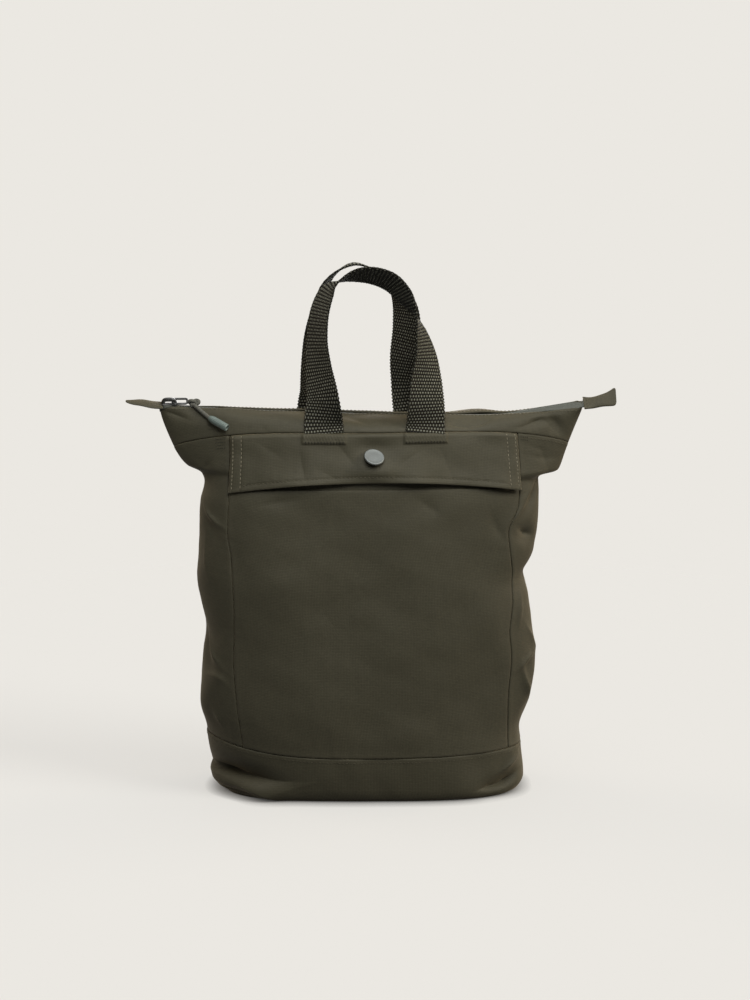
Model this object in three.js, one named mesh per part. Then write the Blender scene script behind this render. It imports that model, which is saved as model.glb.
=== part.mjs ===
// Waterproof backpack: a soft tote-shaped bag of coated cloth that stands on its base.
// Millimetres, +Z up. The front faces -Y, +X is to the right of someone who looks at the front,
// and the origin is on the floor under the middle of the base.
import * as THREE from "three";

// Cloth, webbing and gaps
const CLOTH = 1.5; // one wall of cloth
const FLAP_CLOTH = 1.8; // the flap is two thin layers sewn together
const SEAM_GAP = 0.3; // between two pieces along a seam
const LAYER_GAP = 0.4; // between two layers that lie on each other
const WEB_WIDTH = 38; // woven band of the handles and straps
const WEB_THICK = 2.2;

// How finely the walls are divided
const FRONT_STEPS = 12; // across the front and across the back
const SIDE_STEPS = 10; // round each side, an even number so that one step line is the side's middle
const LOW_ROWS = 12; // up the wall, from the base seam to EAR_START
const EAR_ROWS = 8; // from there to the yoke seam, where the wings spread
const EAR_START = 0.78;
const YOKE_ROWS = 4;
const FLAP_ROWS = 5;
const BASE_ROWS = [-1, -0.5, 0, 0.04, 0.13, 0.35, 0.65, 1]; // from the middle of the floor to the base seam
const HANDLE_STEPS = 40;
const STRAP_STEPS = 24;
const CORD_STEPS = 10;
const TINY = 1e-3; // step over which a surface's directions are measured

// Heights of the seams
const BASE_SEAM = { front: 47, left: 16, right: 2, power: 3 }; // height in front, and its rise to each side
const YOKE_SEAM = { middle: 370, drop: 16, power: 4, reach: 197 }; // height, and its drop at the wing tips
const POCKET_ROWS = 15; // rows of the wall that the pocket covers, its mouth is under the flap
const HEM = { middle: 319, drop: 7 }; // lower edge of the flap
const FLAP = { seat: 1, stand: 3, waves: 5, waviness: 0.25 }; // room under its top, stand-off of its wavy hem
const ZIP = { half: 206, tapeHalf: 4, closing: 0.8, thick: 1.2, sink: 0.1, gap: 0.6 };
const YOKE_BEND = { below: 0.98, rise: 0.7, over: 0.62, dip: 0.15 }; // how it leaves the wall and meets the zip
const FOLD_THROUGH = 25; // a fold doesn't reach the far wall

// Sections of the bag, from the floor to the yoke: half-widths to the left and right, the upright seams'
// distance from the middle, half-depths to the front and back, squareness of the outline (2 is an ellipse),
// and a turn about the vertical in degrees
const SECTION_COLUMNS = ["z", "left", "right", "seamLeft", "seamRight", "front", "back", "square", "turn"];
const SECTIONS = [
  [0, 148, 143, 124, 128, 53, 51, 3.0, -2.5],
  [4, 157, 149, 127, 133, 57, 56, 3.0, -2.5],
  [14, 164, 154, 129, 136, 60, 59, 2.8, -2.2],
  [38, 165, 152, 129, 136, 62, 60, 2.5, -1.5],
  [62, 166, 150, 131, 135, 62, 60, 2.5, -0.8],
  [96, 171, 160, 136, 134, 60, 58, 2.5, 0],
  [144, 169, 164, 139, 137, 57, 56, 2.5, 0],
  [168, 167, 161, 138, 135, 56, 55, 2.5, 0],
  [200, 172, 157, 138, 138, 54, 53, 2.5, 0],
  [222, 174, 154, 139, 138, 53, 52, 2.5, 0],
  [248, 172, 162, 140, 135, 51, 50, 2.45, 0],
  [268, 171, 165, 143, 133, 50, 49, 2.4, 0],
  [298, 170, 166, 142, 143, 48, 47, 2.3, 0],
  [318, 166, 166, 141, 144, 46, 45, 2.1, 0],
  [325, 167, 181, 141, 144, 45, 44, 1.9, 0],
  [332, 182, 187, 140, 144, 44, 43, 1.75, 0],
  [344, 191, 192, 140, 143, 42, 41, 1.6, 0],
  [358, 197, 197, 140, 142, 40, 39, 1.5, 0],
  [374, 202, 202, 140, 142, 37, 36, 1.45, 0],
];

// Height of the zip along the bag's width, and how much its back edge stands above its middle
const ZIP_COLUMNS = ["x", "z", "lean"];
const ZIP_LINE = [
  [-206, 390, 0],
  [-165, 390.5, 0],
  [-110, 388.5, 0],
  [-40, 386, 0],
  [20, 383.5, 0],
  [125, 382.5, 0],
  [166, 386.6, 1.3],
  [209, 391.6, 3],
];

// Dents (negative) and swells of the cloth: the place round the bag and its height, the direction of the fold
// against the seam lines in degrees, half-length and half-width, and how far it moves the wall
const FOLD_COLUMNS = ["q", "z", "angle", "length", "width", "depth"];
const FOLDS = [
  [0.0, 30, -8, 34, 9, -8], // deep dent over the left corner of the base
  [0.08, 11, -12, 26, 8, 3.5], // swell under that dent
  [0.97, 17, 12, 17, 7, -4], // crescent dent at the right corner of the base
  [1.05, 40, 62, 22, 6, 3], // crease that climbs over the base seam on the right
  [3.82, 285, -58, 24, 7, -4], // slanting crease under the left wing
  [3.72, 152, -65, 24, 8, -4], // slack crease low on the left side
  [3.7, 98, 70, 30, 13, 3], // swell below it
  [1.22, 262, 10, 26, 9, -6], // tuck on the right side
  [1.3, 222, 15, 26, 10, -3], // hollow below the tuck
  [1.22, 120, 78, 28, 8, 3.5], // upright fold low on the right side
  [1.2, 305, 55, 20, 7, -4], // tuck under the right wing
  [1.28, 343, -8, 18, 5, -2.5], // fold across the right wing
  [0.3, 270, 40, 60, 26, -2.5], // slack of the pocket, left of the middle
  [0.68, 235, -50, 70, 30, 2.5], // and its swell on the right
  [2.35, 210, 30, 80, 34, -3], // slack of the back
  [0.5, 334, 0, 24, 9, 3.4], // swell under the press stud
  [0.5, 357, 0, 24, 8, -2.2], // and the hollow over it, which tip the stud up
];
const YOKE_FOLD_COLUMNS = ["q", "w", "angle", "length", "width", "depth"];
const YOKE_FOLDS = [
  [1.13, 0.4, 4, 12, 5, -3], // bent dent on the right wing, its level arm
  [1.26, 0.32, -40, 11, 5, -3], // and its falling arm
  [0.78, 0.5, 6, 26, 9, -2.5], // hollow right of the handle
  [2.14, 0.62, 0, 24, 10, 4], // slack of the back yoke that stands over the zip
  [3.9, 0.55, -20, 20, 8, -2.5], // hollow on the left wing
];

// Handles: the middle line from one foot to the other, the turn of the band about the vertical
// (0 faces the front, 90 is edge on) and the roll that lifts its front edge
const HANDLE_COLUMNS = ["x", "y", "z", "turn", "roll"];
const HANDLE_FRONT = [
  [-49, -35, 402, 36, 3],
  [-52.5, -29, 431, 51, 5],
  [-54, -25, 459, 61, 6],
  [-51, -22, 488, 63, 6],
  [-42, -20, 508, 66, 9],
  [-28, -20, 517, 73, 19],
  [-13, -20, 521, 80, 26],
  [2, -20, 520, 80, 29],
  [17, -20, 514, 78, 30],
  [29, -20, 502, 80, 30],
  [38, -21, 488, 90, 22],
  [46, -23, 468, 108, 8],
  [51, -27, 444, 126, 6],
  [51, -31, 421, 146, 5],
  [51, -35, 398, 160, 3],
];
const HANDLE_BACK = [
  [-55, 35, 402, -36, 0],
  [-57, 29, 433, -52, 0],
  [-56, 25, 463, -62, 0],
  [-50, 22, 491, -70, 0],
  [-43, 21, 510, -76, -1],
  [-31, 21, 522, -82, -2],
  [-16, 21, 528, -90, -3],
  [-1, 21, 524, -92, -4],
  [16, 21, 513, -102, -3],
  [32, 22, 492, -124, 0],
  [36, 25, 466, -133, 0],
  [35, 29, 433, -140, 0],
  [38, 34, 406, -150, 0],
];
const HANDLE_FEET = { front: [-48, 50], back: [-54, 42] }; // middle of each foot on its yoke
const FOOT_RISE = [0.06, 0.18]; // the foot lies on the yoke between these shares of its height

// Shoulder straps: place on the back and the slack that lifts the band off it
const STRAP_COLUMNS = ["x", "z", "lift"];
const STRAP = [
  [46, 362, 0],
  [47, 348, 0.4],
  [54, 318, 9],
  [70, 250, 21],
  [88, 172, 28],
  [99, 112, 19],
  [103, 82, 5],
  [104, 68, 0],
  [104, 57, 0],
];

// Press stud, zip pull and tabs
const SNAP = { x: 1, z: 346, radius: 10, height: 2.6, post: 1.2, facets: 20 };
const SNAP_PROFILE = [
  // shares of the radius and of the height, from the middle of its underside to the middle of its top
  [0, 0],
  [0.92, 0],
  [1, 0.21],
  [0.97, 0.42],
  [0.82, 0.78],
  [0.45, 1],
  [0, 1],
];
const SLIDER = { x: -204, length: 15, body: 3.6, lip: 2.2, eye: 6.5, sill: 0.4, width: 8, wall: 1.6 };
const BRIDGE_SHARE = 0.5; // width of the slider's bridge against its body
const PULLER = { start: 6.8, rise: 5, length: 16.5, width: 9, bar: 1.7, tilt: 0.3 };
const KNOT = { y: -2, radius: 5, rise: 6, facets: [12, 8] };
const CORD_RADIUS = 1.9;
// Routes of the cord and of its moulded end: place round the bag, share of the yoke's height, lift
const CORD_ROUTE = [
  [3.85, 0.93, 3],
  [3.868, 0.8, 2.6],
  [3.885, 0.63, 2.5],
  [3.9, 0.48, 2.6],
];
const END_ROUTE = [
  [3.907, 0.44, 4.6],
  [4, 0.16, 4.9],
];
const PULL_END = { radius: 4, neck: 2.6, shoulder: 3.6, chamfer: 1, facets: 14 };
const TAB = { length: 36, width: 17, thick: 2.4, lap: 0.4, steps: 8 };
const TAB_LEFT = { side: -1, q: 3.5, twist: [-0.05, 0.2], rise: [1.5, 6], bend: 1 }; // lies almost level
const TAB_RIGHT = { side: 1, q: 1.5, twist: [0.55, 1.05], rise: [0, 7], bend: 2 }; // its end curls up

// Colours and surfaces
const CLOTH_LOOK = { color: 0x45433a, roughness: 0.75 };
const WEBBING_LOOK = { color: 0x2f2f28, roughness: 0.85 };
const BLACK_METAL_LOOK = { color: 0x23241f, roughness: 0.35, metalness: 0.8 };
const STEEL_LOOK = { color: 0x868a89, roughness: 0.35, metalness: 0.9 };
const ZIP_LOOK = { color: 0x5b5d59, roughness: 0.4 };
const CORD_LOOK = { color: 0x45453c, roughness: 0.9 };
const RUBBER_LOOK = { color: 0x4d5854, roughness: 0.55 };

// The value of a named column at a key, a cubic through the rows that never overshoots them
function columnAt(columns, rows, name, key) {
  const c = columns.indexOf(name);
  const last = rows.length - 1;
  const k = THREE.MathUtils.clamp(key, rows[0][0], rows[last][0]);
  let i = 0;
  while (i < last - 1 && k >= rows[i + 1][0]) i += 1;
  const rate = (j) => (rows[j + 1][c] - rows[j][c]) / (rows[j + 1][0] - rows[j][0]);
  const slope = (j) => {
    if (j === 0) return rate(0);
    if (j === last) return rate(last - 1);
    const before = rate(j - 1);
    const after = rate(j);
    return before * after > 0 ? (2 * before * after) / (before + after) : 0;
  };
  const span = rows[i + 1][0] - rows[i][0];
  const t = (k - rows[i][0]) / span;
  const s = 1 - t;
  return (
    (1 + 2 * t) * s * s * rows[i][c] +
    t * s * s * span * slope(i) +
    t * t * (3 - 2 * t) * rows[i + 1][c] -
    t * t * s * span * slope(i + 1)
  );
}

function sectionAt(z) {
  const read = (name) => columnAt(SECTION_COLUMNS, SECTIONS, name, z);
  return Object.fromEntries(SECTION_COLUMNS.map((name) => [name, read(name)]));
}

// A point of the bag's outline at one height. q runs 0 to 1 across the front from the left seam to the right,
// 1 to 2 round the right side, 2 to 3 across the back and 3 to 4 round the left side.
function ringPoint(q, z) {
  const around = THREE.MathUtils.euclideanModulo(q, 4);
  const panel = Math.floor(around);
  const t = around - panel;
  const s = sectionAt(z);
  const n = s.square;
  const fall = (share) => Math.pow(Math.max(0, 1 - Math.pow(share, n)), 1 / n);
  const point = new THREE.Vector3(0, 0, z);
  if (panel % 2 === 0) {
    const across = panel === 0 ? t : 1 - t;
    point.x = -s.seamLeft + across * (s.seamLeft + s.seamRight);
    const share = Math.abs(point.x) / (point.x < 0 ? s.left : s.right);
    point.y = (panel === 0 ? -s.front : s.back) * fall(share);
  } else {
    const half = panel === 1 ? s.right : s.left;
    const seam = (panel === 1 ? s.seamRight : s.seamLeft) / half;
    const first = Math.atan2(seam, fall(seam));
    const angle = first + (panel === 1 ? t : 1 - t) * (Math.PI - 2 * first);
    const sin = Math.sin(angle);
    const cos = Math.cos(angle);
    const reach = Math.pow(Math.pow(sin, n) + Math.pow(Math.abs(cos), n), -1 / n);
    point.x = (panel === 1 ? half : -half) * sin * reach;
    point.y = (cos > 0 ? -s.front : -s.back) * cos * reach;
  }
  return point.applyAxisAngle(new THREE.Vector3(0, 0, 1), THREE.MathUtils.degToRad(s.turn));
}

// The share of the way across the front at which a distance from the middle lies, at one height
function acrossAt(x, z) {
  const { seamLeft, seamRight } = sectionAt(z);
  return (x + seamLeft) / (seamLeft + seamRight);
}

// Heights of the base seam and of the yoke seam round the bag
function baseSeam(q) {
  const x = ringPoint(q, BASE_SEAM.front).x;
  const s = sectionAt(BASE_SEAM.front);
  const rise = x < 0 ? BASE_SEAM.left : BASE_SEAM.right;
  return BASE_SEAM.front + rise * Math.pow(Math.abs(x) / (x < 0 ? s.left : s.right), BASE_SEAM.power);
}

function yokeSeam(q) {
  const x = ringPoint(q, YOKE_SEAM.middle).x;
  return YOKE_SEAM.middle - YOKE_SEAM.drop * Math.pow(Math.abs(x) / YOKE_SEAM.reach, YOKE_SEAM.power);
}

// Outer surfaces before folding: the wall (v from the base seam to the yoke seam) and the yoke (w from its seam
// to the zip)
function wallPoint(q, v) {
  return ringPoint(q, THREE.MathUtils.lerp(baseSeam(q), yokeSeam(q), v));
}

const zipHeight = (x) => columnAt(ZIP_COLUMNS, ZIP_LINE, "z", x);

function zipPoint(q) {
  const foot = wallPoint(q, 1);
  const x = (foot.x * ZIP.half) / YOKE_SEAM.reach;
  const y = THREE.MathUtils.clamp(foot.y * ZIP.closing, -ZIP.tapeHalf, ZIP.tapeHalf);
  const lean = columnAt(ZIP_COLUMNS, ZIP_LINE, "lean", x) * (y / ZIP.tapeHalf);
  return new THREE.Vector3(x, y, zipHeight(x) + lean);
}

function yokePoint(q, w) {
  const foot = wallPoint(q, 1);
  const top = zipPoint(q);
  const up = foot.clone().sub(wallPoint(q, YOKE_BEND.below)).normalize();
  const rise = top.z - foot.z;
  const along = foot.clone().addScaledVector(up, YOKE_BEND.rise * rise);
  const over = top.clone();
  over.y += YOKE_BEND.over * (foot.y - top.y);
  over.z -= YOKE_BEND.dip * rise;
  return new THREE.CubicBezierCurve3(foot, along, over, top).getPoint(w);
}

// Frame of a surface at one point: its two directions and its outward normal
function frameAt(surface, q, v) {
  const along = surface(q + TINY, v).sub(surface(q - TINY, v)).normalize();
  const up = surface(q, v + TINY).sub(surface(q, v - TINY)).normalize();
  const normal = along.clone().cross(up).normalize();
  return { along, up, normal };
}

// Folds as frames in space, each with a bell-shaped reach along, across and through the cloth
function foldsOf(surface, columns, rows, heightOf) {
  return rows.map((row) => {
    const value = Object.fromEntries(columns.map((name, i) => [name, row[i]]));
    const v = heightOf(value);
    const { along, up, normal } = frameAt(surface, value.q, v);
    const angle = THREE.MathUtils.degToRad(value.angle);
    const line = along.clone().multiplyScalar(Math.cos(angle)).addScaledVector(up, Math.sin(angle)).normalize();
    const cross = normal.clone().cross(line).normalize();
    return { centre: surface(value.q, v), line, cross, normal, ...value };
  });
}

const folds = [
  ...foldsOf(ringPoint, FOLD_COLUMNS, FOLDS, (row) => row.z),
  ...foldsOf(yokePoint, YOKE_FOLD_COLUMNS, YOKE_FOLDS, (row) => row.w),
];

function foldDepth(point) {
  return folds.reduce((sum, fold) => {
    const from = point.clone().sub(fold.centre);
    const bell =
      (from.dot(fold.line) / fold.length) ** 2 +
      (from.dot(fold.cross) / fold.width) ** 2 +
      (from.dot(fold.normal) / FOLD_THROUGH) ** 2;
    return sum + fold.depth * Math.exp(-bell);
  }, 0);
}

// A point of the cloth: on the folded surface, moved out along the smooth normal by an offset
function clothPoint(surface, q, v, offset) {
  const point = surface(q, v);
  const { normal } = frameAt(surface, q, v);
  return point.clone().addScaledVector(normal, foldDepth(point) + offset);
}

const bag = new THREE.Group();

function addPiece(name, geometry, look = CLOTH_LOOK) {
  const mesh = new THREE.Mesh(geometry, new THREE.MeshStandardMaterial(look));
  mesh.name = name;
  bag.add(mesh);
  return mesh;
}

// Moves every vertex of a geometry by a function of its place
function bend(geometry, place) {
  const position = geometry.getAttribute("position");
  const vertex = new THREE.Vector3();
  for (let i = 0; i < position.count; i += 1) {
    const moved = place(vertex.fromBufferAttribute(position, i), i);
    position.setXYZ(i, moved.x, moved.y, moved.z);
  }
  geometry.computeVertexNormals();
  return geometry;
}

function steps(from, to, count) {
  return Array.from({ length: count + 1 }, (_, i) => from + ((to - from) * i) / count);
}

// A flat box, finely divided, with both broad faces cut along the same diagonals, so that a wall bent from it
// stays evenly thick
function sheetBox(across, up) {
  const box = new THREE.BoxGeometry(1, 1, 1, across, up, 1);
  const { start, count } = box.groups.at(-1);
  const index = box.index.array;
  for (let i = start; i < start + count; i += 6) {
    const [a, b, d, , c] = index.subarray(i, i + 6);
    index.set([a, b, c, a, c, d], i);
  }
  return box;
}

// A cloth wall: x of the box runs round the bag, y up it and z through the cloth.
// Its edges stay half a seam gap inside the seam lines, and a trim may hold its points back further.
function clothGeometry(surface, qs, vs, outer, inner, trim = (point) => point) {
  const box = sheetBox(qs.length - 1, vs.length - 1);
  return bend(box, (corner) => {
    const i = Math.round((corner.x + 0.5) * (qs.length - 1));
    const j = Math.round((corner.y + 0.5) * (vs.length - 1));
    let q = qs[i];
    let v = vs[j];
    const mmPerQ = surface(q + TINY, v).distanceTo(surface(q - TINY, v)) / (2 * TINY);
    const mmPerV = surface(q, v + TINY).distanceTo(surface(q, v - TINY)) / (2 * TINY);
    if (i === 0) q += SEAM_GAP / 2 / mmPerQ;
    if (i === qs.length - 1) q -= SEAM_GAP / 2 / mmPerQ;
    if (j === 0) v += SEAM_GAP / 2 / mmPerV;
    if (j === vs.length - 1) v -= SEAM_GAP / 2 / mmPerV;
    return trim(clothPoint(surface, q, v, corner.z > 0 ? outer(v, q) : inner(v, q)), q);
  });
}

const frontSteps = steps(0, 1, FRONT_STEPS);
const sideSteps = steps(1, 2, SIDE_STEPS);
const wallRows = [...steps(0, EAR_START, LOW_ROWS), ...steps(EAR_START, 1, EAR_ROWS).slice(1)];
const skin = () => 0;
const lining = () => -CLOTH;

// Base: a tray turned as a lathe would turn it, its floor and band then led round the bag's outline
function baseGeometry() {
  const ring = [
    ...frontSteps,
    ...sideSteps.slice(1),
    ...frontSteps.slice(1).map((q) => q + 2),
    ...sideSteps.slice(1).map((q) => q + 2),
  ];
  const profile = [
    ...BASE_ROWS.map((t) => ({ t, depth: 0 })),
    ...BASE_ROWS.toReversed().map((t) => ({ t, depth: CLOTH })),
  ];
  const turned = profile.map(({ t, depth }) => new THREE.Vector2(Math.min(1, 1 + t), Math.max(0, t) + depth));
  const lathe = new THREE.LatheGeometry(turned, ring.length - 1);
  return bend(lathe, (corner, i) => {
    const { t, depth } = profile[i % profile.length];
    const q = ring[Math.floor(i / profile.length)];
    if (t < 0) return ringPoint(q, 0).multiplyScalar(1 + t).setZ(depth);
    const seam = baseSeam(q);
    const height = t === 1 ? seam - SEAM_GAP / 2 : t * seam;
    const point = clothPoint(ringPoint, q, height, -depth);
    return point.setZ(Math.max(point.z, depth));
  });
}
addPiece("base_tray", baseGeometry());

// Walls
const underPocket = -CLOTH - LAYER_GAP;
addPiece(
  "front_wall",
  clothGeometry(wallPoint, frontSteps, wallRows, () => underPocket, () => underPocket - CLOTH),
);
const pocketRows = wallRows.slice(0, POCKET_ROWS + 1);
addPiece("pocket_panel", clothGeometry(wallPoint, frontSteps, pocketRows, skin, lining));
addPiece("side_panel_right", clothGeometry(wallPoint, sideSteps, wallRows, skin, lining));
addPiece("back_panel", clothGeometry(wallPoint, frontSteps.map((q) => q + 2), wallRows, skin, lining));
addPiece("side_panel_left", clothGeometry(wallPoint, sideSteps.map((q) => q + 2), wallRows, skin, lining));

// Yokes: each runs over its flat panel and half of both sides, from wing tip to wing tip
const halfSide = SIDE_STEPS / 2;
const yokeSteps = [
  ...sideSteps.slice(halfSide).map((q) => q - 2),
  ...frontSteps.slice(1),
  ...sideSteps.slice(1, halfSide + 1),
];
const yokeRows = steps(0, 1, YOKE_ROWS);
function besideZip(point, q) {
  const edge = zipPoint(q).y;
  return point.setY(Math.sign(edge) * Math.max(Math.sign(edge) * point.y, Math.abs(edge), SEAM_GAP / 2));
}
addPiece("yoke_front", clothGeometry(yokePoint, yokeSteps, yokeRows, skin, lining, besideZip));
const backYokeSteps = yokeSteps.map((q) => q + 2);
addPiece("yoke_back", clothGeometry(yokePoint, backYokeSteps, yokeRows, skin, lining, besideZip));

// Flap: hangs from the yoke seam over the pocket and stands off it towards the hem
function hemHeight(q) {
  return HEM.middle - HEM.drop * (2 * q - 1) ** 2;
}
function flapPoint(q, v) {
  return ringPoint(q, THREE.MathUtils.lerp(hemHeight(q), yokeSeam(q), v));
}
function flapLift(v, q) {
  const wave = 1 - FLAP.waviness + FLAP.waviness * Math.cos(FLAP.waves * Math.PI * q);
  return FLAP.seat + FLAP.stand * wave * (1 - v) ** 2;
}
addPiece(
  "flap",
  clothGeometry(flapPoint, frontSteps, steps(0, 1, FLAP_ROWS), (v, q) => flapLift(v, q) + FLAP_CLOTH, flapLift),
);

// Press stud: a low domed cap on the flap
const snapProfile = SNAP_PROFILE.map(([out, up]) => new THREE.Vector2(out * SNAP.radius, up * SNAP.height));
const snapQ = acrossAt(SNAP.x, SNAP.z);
const snapV = (SNAP.z - hemHeight(snapQ)) / (yokeSeam(snapQ) - hemHeight(snapQ));
const flapFace = (q, v) => clothPoint(flapPoint, q, v, flapLift(v, q) + FLAP_CLOTH);
const snapFrame = frameAt(flapFace, snapQ, snapV);
const snap = addPiece("snap_cap", new THREE.LatheGeometry(snapProfile, SNAP.facets), STEEL_LOOK);
snap.position.copy(flapFace(snapQ, snapV)).addScaledVector(snapFrame.normal, SNAP.post);
snap.quaternion.setFromUnitVectors(new THREE.Vector3(0, 1, 0), snapFrame.normal);

// Zip: the closed tape between the two yokes, ending just inside the wing tips
function zipGeometry() {
  const along = yokeSteps.slice(1, -1);
  const box = sheetBox(along.length - 1, 1);
  return bend(box, (corner) => {
    const q = along[Math.round((corner.x + 0.5) * (along.length - 1))];
    const edge = zipPoint(corner.y < 0 ? q : 3 - q);
    const y = edge.y - Math.sign(edge.y) * ZIP.gap;
    return new THREE.Vector3(edge.x, y, edge.z - ZIP.sink + (corner.z - 0.5) * ZIP.thick);
  });
}
addPiece("zip_tape", zipGeometry(), ZIP_LOOK);

// Webbing led along a path: x runs along it, y across its width and z through it
function bandGeometry(frame, count) {
  const box = new THREE.BoxGeometry(1, WEB_WIDTH, WEB_THICK, count, 2, 1);
  return bend(box, (corner) => {
    const { centre, across, normal } = frame(corner.x + 0.5);
    return centre.addScaledVector(across, corner.y).addScaledVector(normal, corner.z);
  });
}

// Handles: both feet lie on the yoke, and between them the band follows its table
const footLift = LAYER_GAP + WEB_THICK / 2;
function footPlace(x, panel) {
  const across = acrossAt(x, YOKE_SEAM.middle);
  return panel === "front" ? across : 3 - across;
}
function handleFrame(rows, panel) {
  const row = (r) => Object.fromEntries(HANDLE_COLUMNS.map((name, i) => [name, r[i]]));
  const free = rows.map(row);
  const [firstFoot, lastFoot] = HANDLE_FEET[panel].map((x) =>
    FOOT_RISE.map((w) => clothPoint(yokePoint, footPlace(x, panel), w, footLift)),
  );
  const places = [...firstFoot, ...free.map((r) => new THREE.Vector3(r.x, r.y, r.z)), ...lastFoot.toReversed()];
  const [firstTurn, lastTurn] = HANDLE_FEET[panel].map((x, foot) => {
    const { along } = frameAt(yokePoint, footPlace(x, panel), FOOT_RISE[0]);
    const inward = along.multiplyScalar(Math.sign(along.x) * (foot === 0 ? 1 : -1));
    return THREE.MathUtils.radToDeg(Math.atan2(-inward.y, inward.x));
  });
  const turns = [firstTurn, firstTurn, ...free.map((r) => r.turn), lastTurn, lastTurn];
  const rolls = [0, 0, ...free.map((r) => r.roll), 0, 0];
  const line = new THREE.CatmullRomCurve3(places);
  const bandTurn = new THREE.CatmullRomCurve3(turns.map((turn, i) => new THREE.Vector3(turn, rolls[i], 0)));
  return (share) => {
    const t = line.getUtoTmapping(share, 0);
    const centre = line.getPoint(t);
    const tangent = line.getTangent(t);
    const turn = THREE.MathUtils.degToRad(bandTurn.getPoint(t).x);
    const roll = THREE.MathUtils.degToRad(bandTurn.getPoint(t).y);
    const across = new THREE.Vector3(Math.cos(turn), -Math.sin(turn), 0).multiplyScalar(Math.cos(roll));
    across.z = Math.sin(roll);
    across.addScaledVector(tangent, -across.dot(tangent)).normalize();
    return { centre, across, normal: tangent.clone().cross(across) };
  };
}
addPiece("handle_front", bandGeometry(handleFrame(HANDLE_FRONT, "front"), HANDLE_STEPS), WEBBING_LOOK);
addPiece("handle_back", bandGeometry(handleFrame(HANDLE_BACK, "back"), HANDLE_STEPS), WEBBING_LOOK);

// Shoulder straps: sewn to the back under the yoke and over the base, slack between
function strapFrame(side) {
  const rows = STRAP.map((row) => Object.fromEntries(STRAP_COLUMNS.map((name, i) => [name, row[i]])));
  const qs = rows.map(({ x, z }) => 3 - acrossAt(side * x, z));
  const places = rows.map((r, i) => clothPoint(ringPoint, qs[i], r.z, footLift + r.lift));
  const line = new THREE.CatmullRomCurve3(places);
  const facing = new THREE.CatmullRomCurve3(rows.map((r, i) => frameAt(ringPoint, qs[i], r.z).normal));
  return (share) => {
    const t = line.getUtoTmapping(share, 0);
    const tangent = line.getTangent(t);
    const across = facing.getPoint(t).cross(tangent).normalize();
    return { centre: line.getPoint(t), across, normal: tangent.clone().cross(across) };
  };
}
addPiece("shoulder_strap_left", bandGeometry(strapFrame(-1), STRAP_STEPS), WEBBING_LOOK);
addPiece("shoulder_strap_right", bandGeometry(strapFrame(1), STRAP_STEPS), WEBBING_LOOK);

// Tabs at the zip's ends: folded cloth, each twisted along its length
function tabGeometry({ side, q, twist, rise, bend: power }) {
  const box = new THREE.BoxGeometry(TAB.length, TAB.width, TAB.thick, TAB.steps, 2, 1);
  const root = zipPoint(q);
  root.x += side * TAB.lap;
  return bend(box, (corner) => {
    const t = corner.x / TAB.length + 0.5;
    const turn = THREE.MathUtils.lerp(...twist, t ** power);
    const y = corner.y * Math.cos(turn) - corner.z * Math.sin(turn);
    const z = corner.y * Math.sin(turn) + corner.z * Math.cos(turn);
    const lift = THREE.MathUtils.lerp(...rise, t ** power);
    return new THREE.Vector3(side * t * TAB.length, side * y, z + lift).add(root);
  });
}
addPiece("zip_tab_left", tabGeometry(TAB_LEFT));
addPiece("zip_tab_right", tabGeometry(TAB_RIGHT));

// Slider: a side view with an eye for the pull, as wide as the zip below and narrow at the bridge
function sliderGeometry() {
  const { length, body, lip, eye, sill, width, wall } = SLIDER;
  const middle = length / 2;
  const top = body + eye;
  const outline = new THREE.Shape();
  outline.moveTo(0, 0);
  outline.lineTo(length, 0);
  outline.lineTo(length, lip);
  outline.lineTo(length - wall, body);
  outline.quadraticCurveTo(length - wall, top, middle, top);
  outline.quadraticCurveTo(wall, top, wall, body);
  outline.lineTo(0, lip);
  const hole = new THREE.Path();
  hole.moveTo(2 * wall, body + sill);
  hole.quadraticCurveTo(2 * wall, top - wall, middle, top - wall);
  hole.quadraticCurveTo(length - 2 * wall, top - wall, length - 2 * wall, body + sill);
  outline.holes.push(hole);
  const side = new THREE.ExtrudeGeometry(outline, { depth: width, bevelEnabled: false, curveSegments: 5 });
  return bend(side, (corner) => {
    const across = corner.z - width / 2;
    return corner.setZ(corner.y > lip ? across * BRIDGE_SHARE : across);
  });
}
const slider = addPiece("zip_slider", sliderGeometry(), BLACK_METAL_LOOK);
slider.rotation.x = Math.PI / 2;
const sliderBase = zipHeight(SLIDER.x + SLIDER.length / 2) + LAYER_GAP;
slider.position.set(SLIDER.x, 0, sliderBase);

// Puller: a flat wire frame through the slider's eye
function pullerGeometry() {
  const { length, width, bar } = PULLER;
  const outline = new THREE.Shape();
  const half = width / 2;
  outline.moveTo(0, -half);
  outline.lineTo(length, -half);
  outline.lineTo(length, half);
  outline.lineTo(0, half);
  const hole = new THREE.Path();
  hole.moveTo(bar, bar - half);
  hole.lineTo(bar, half - bar);
  hole.lineTo(length - bar, half - bar);
  hole.lineTo(length - bar, bar - half);
  outline.holes.push(hole);
  return new THREE.ExtrudeGeometry(outline, { depth: bar, bevelEnabled: false });
}
const puller = addPiece("zip_puller", pullerGeometry(), BLACK_METAL_LOOK);
puller.rotation.x = PULLER.tilt;
puller.position.set(SLIDER.x + PULLER.start, 0, sliderBase + PULLER.rise);

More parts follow.
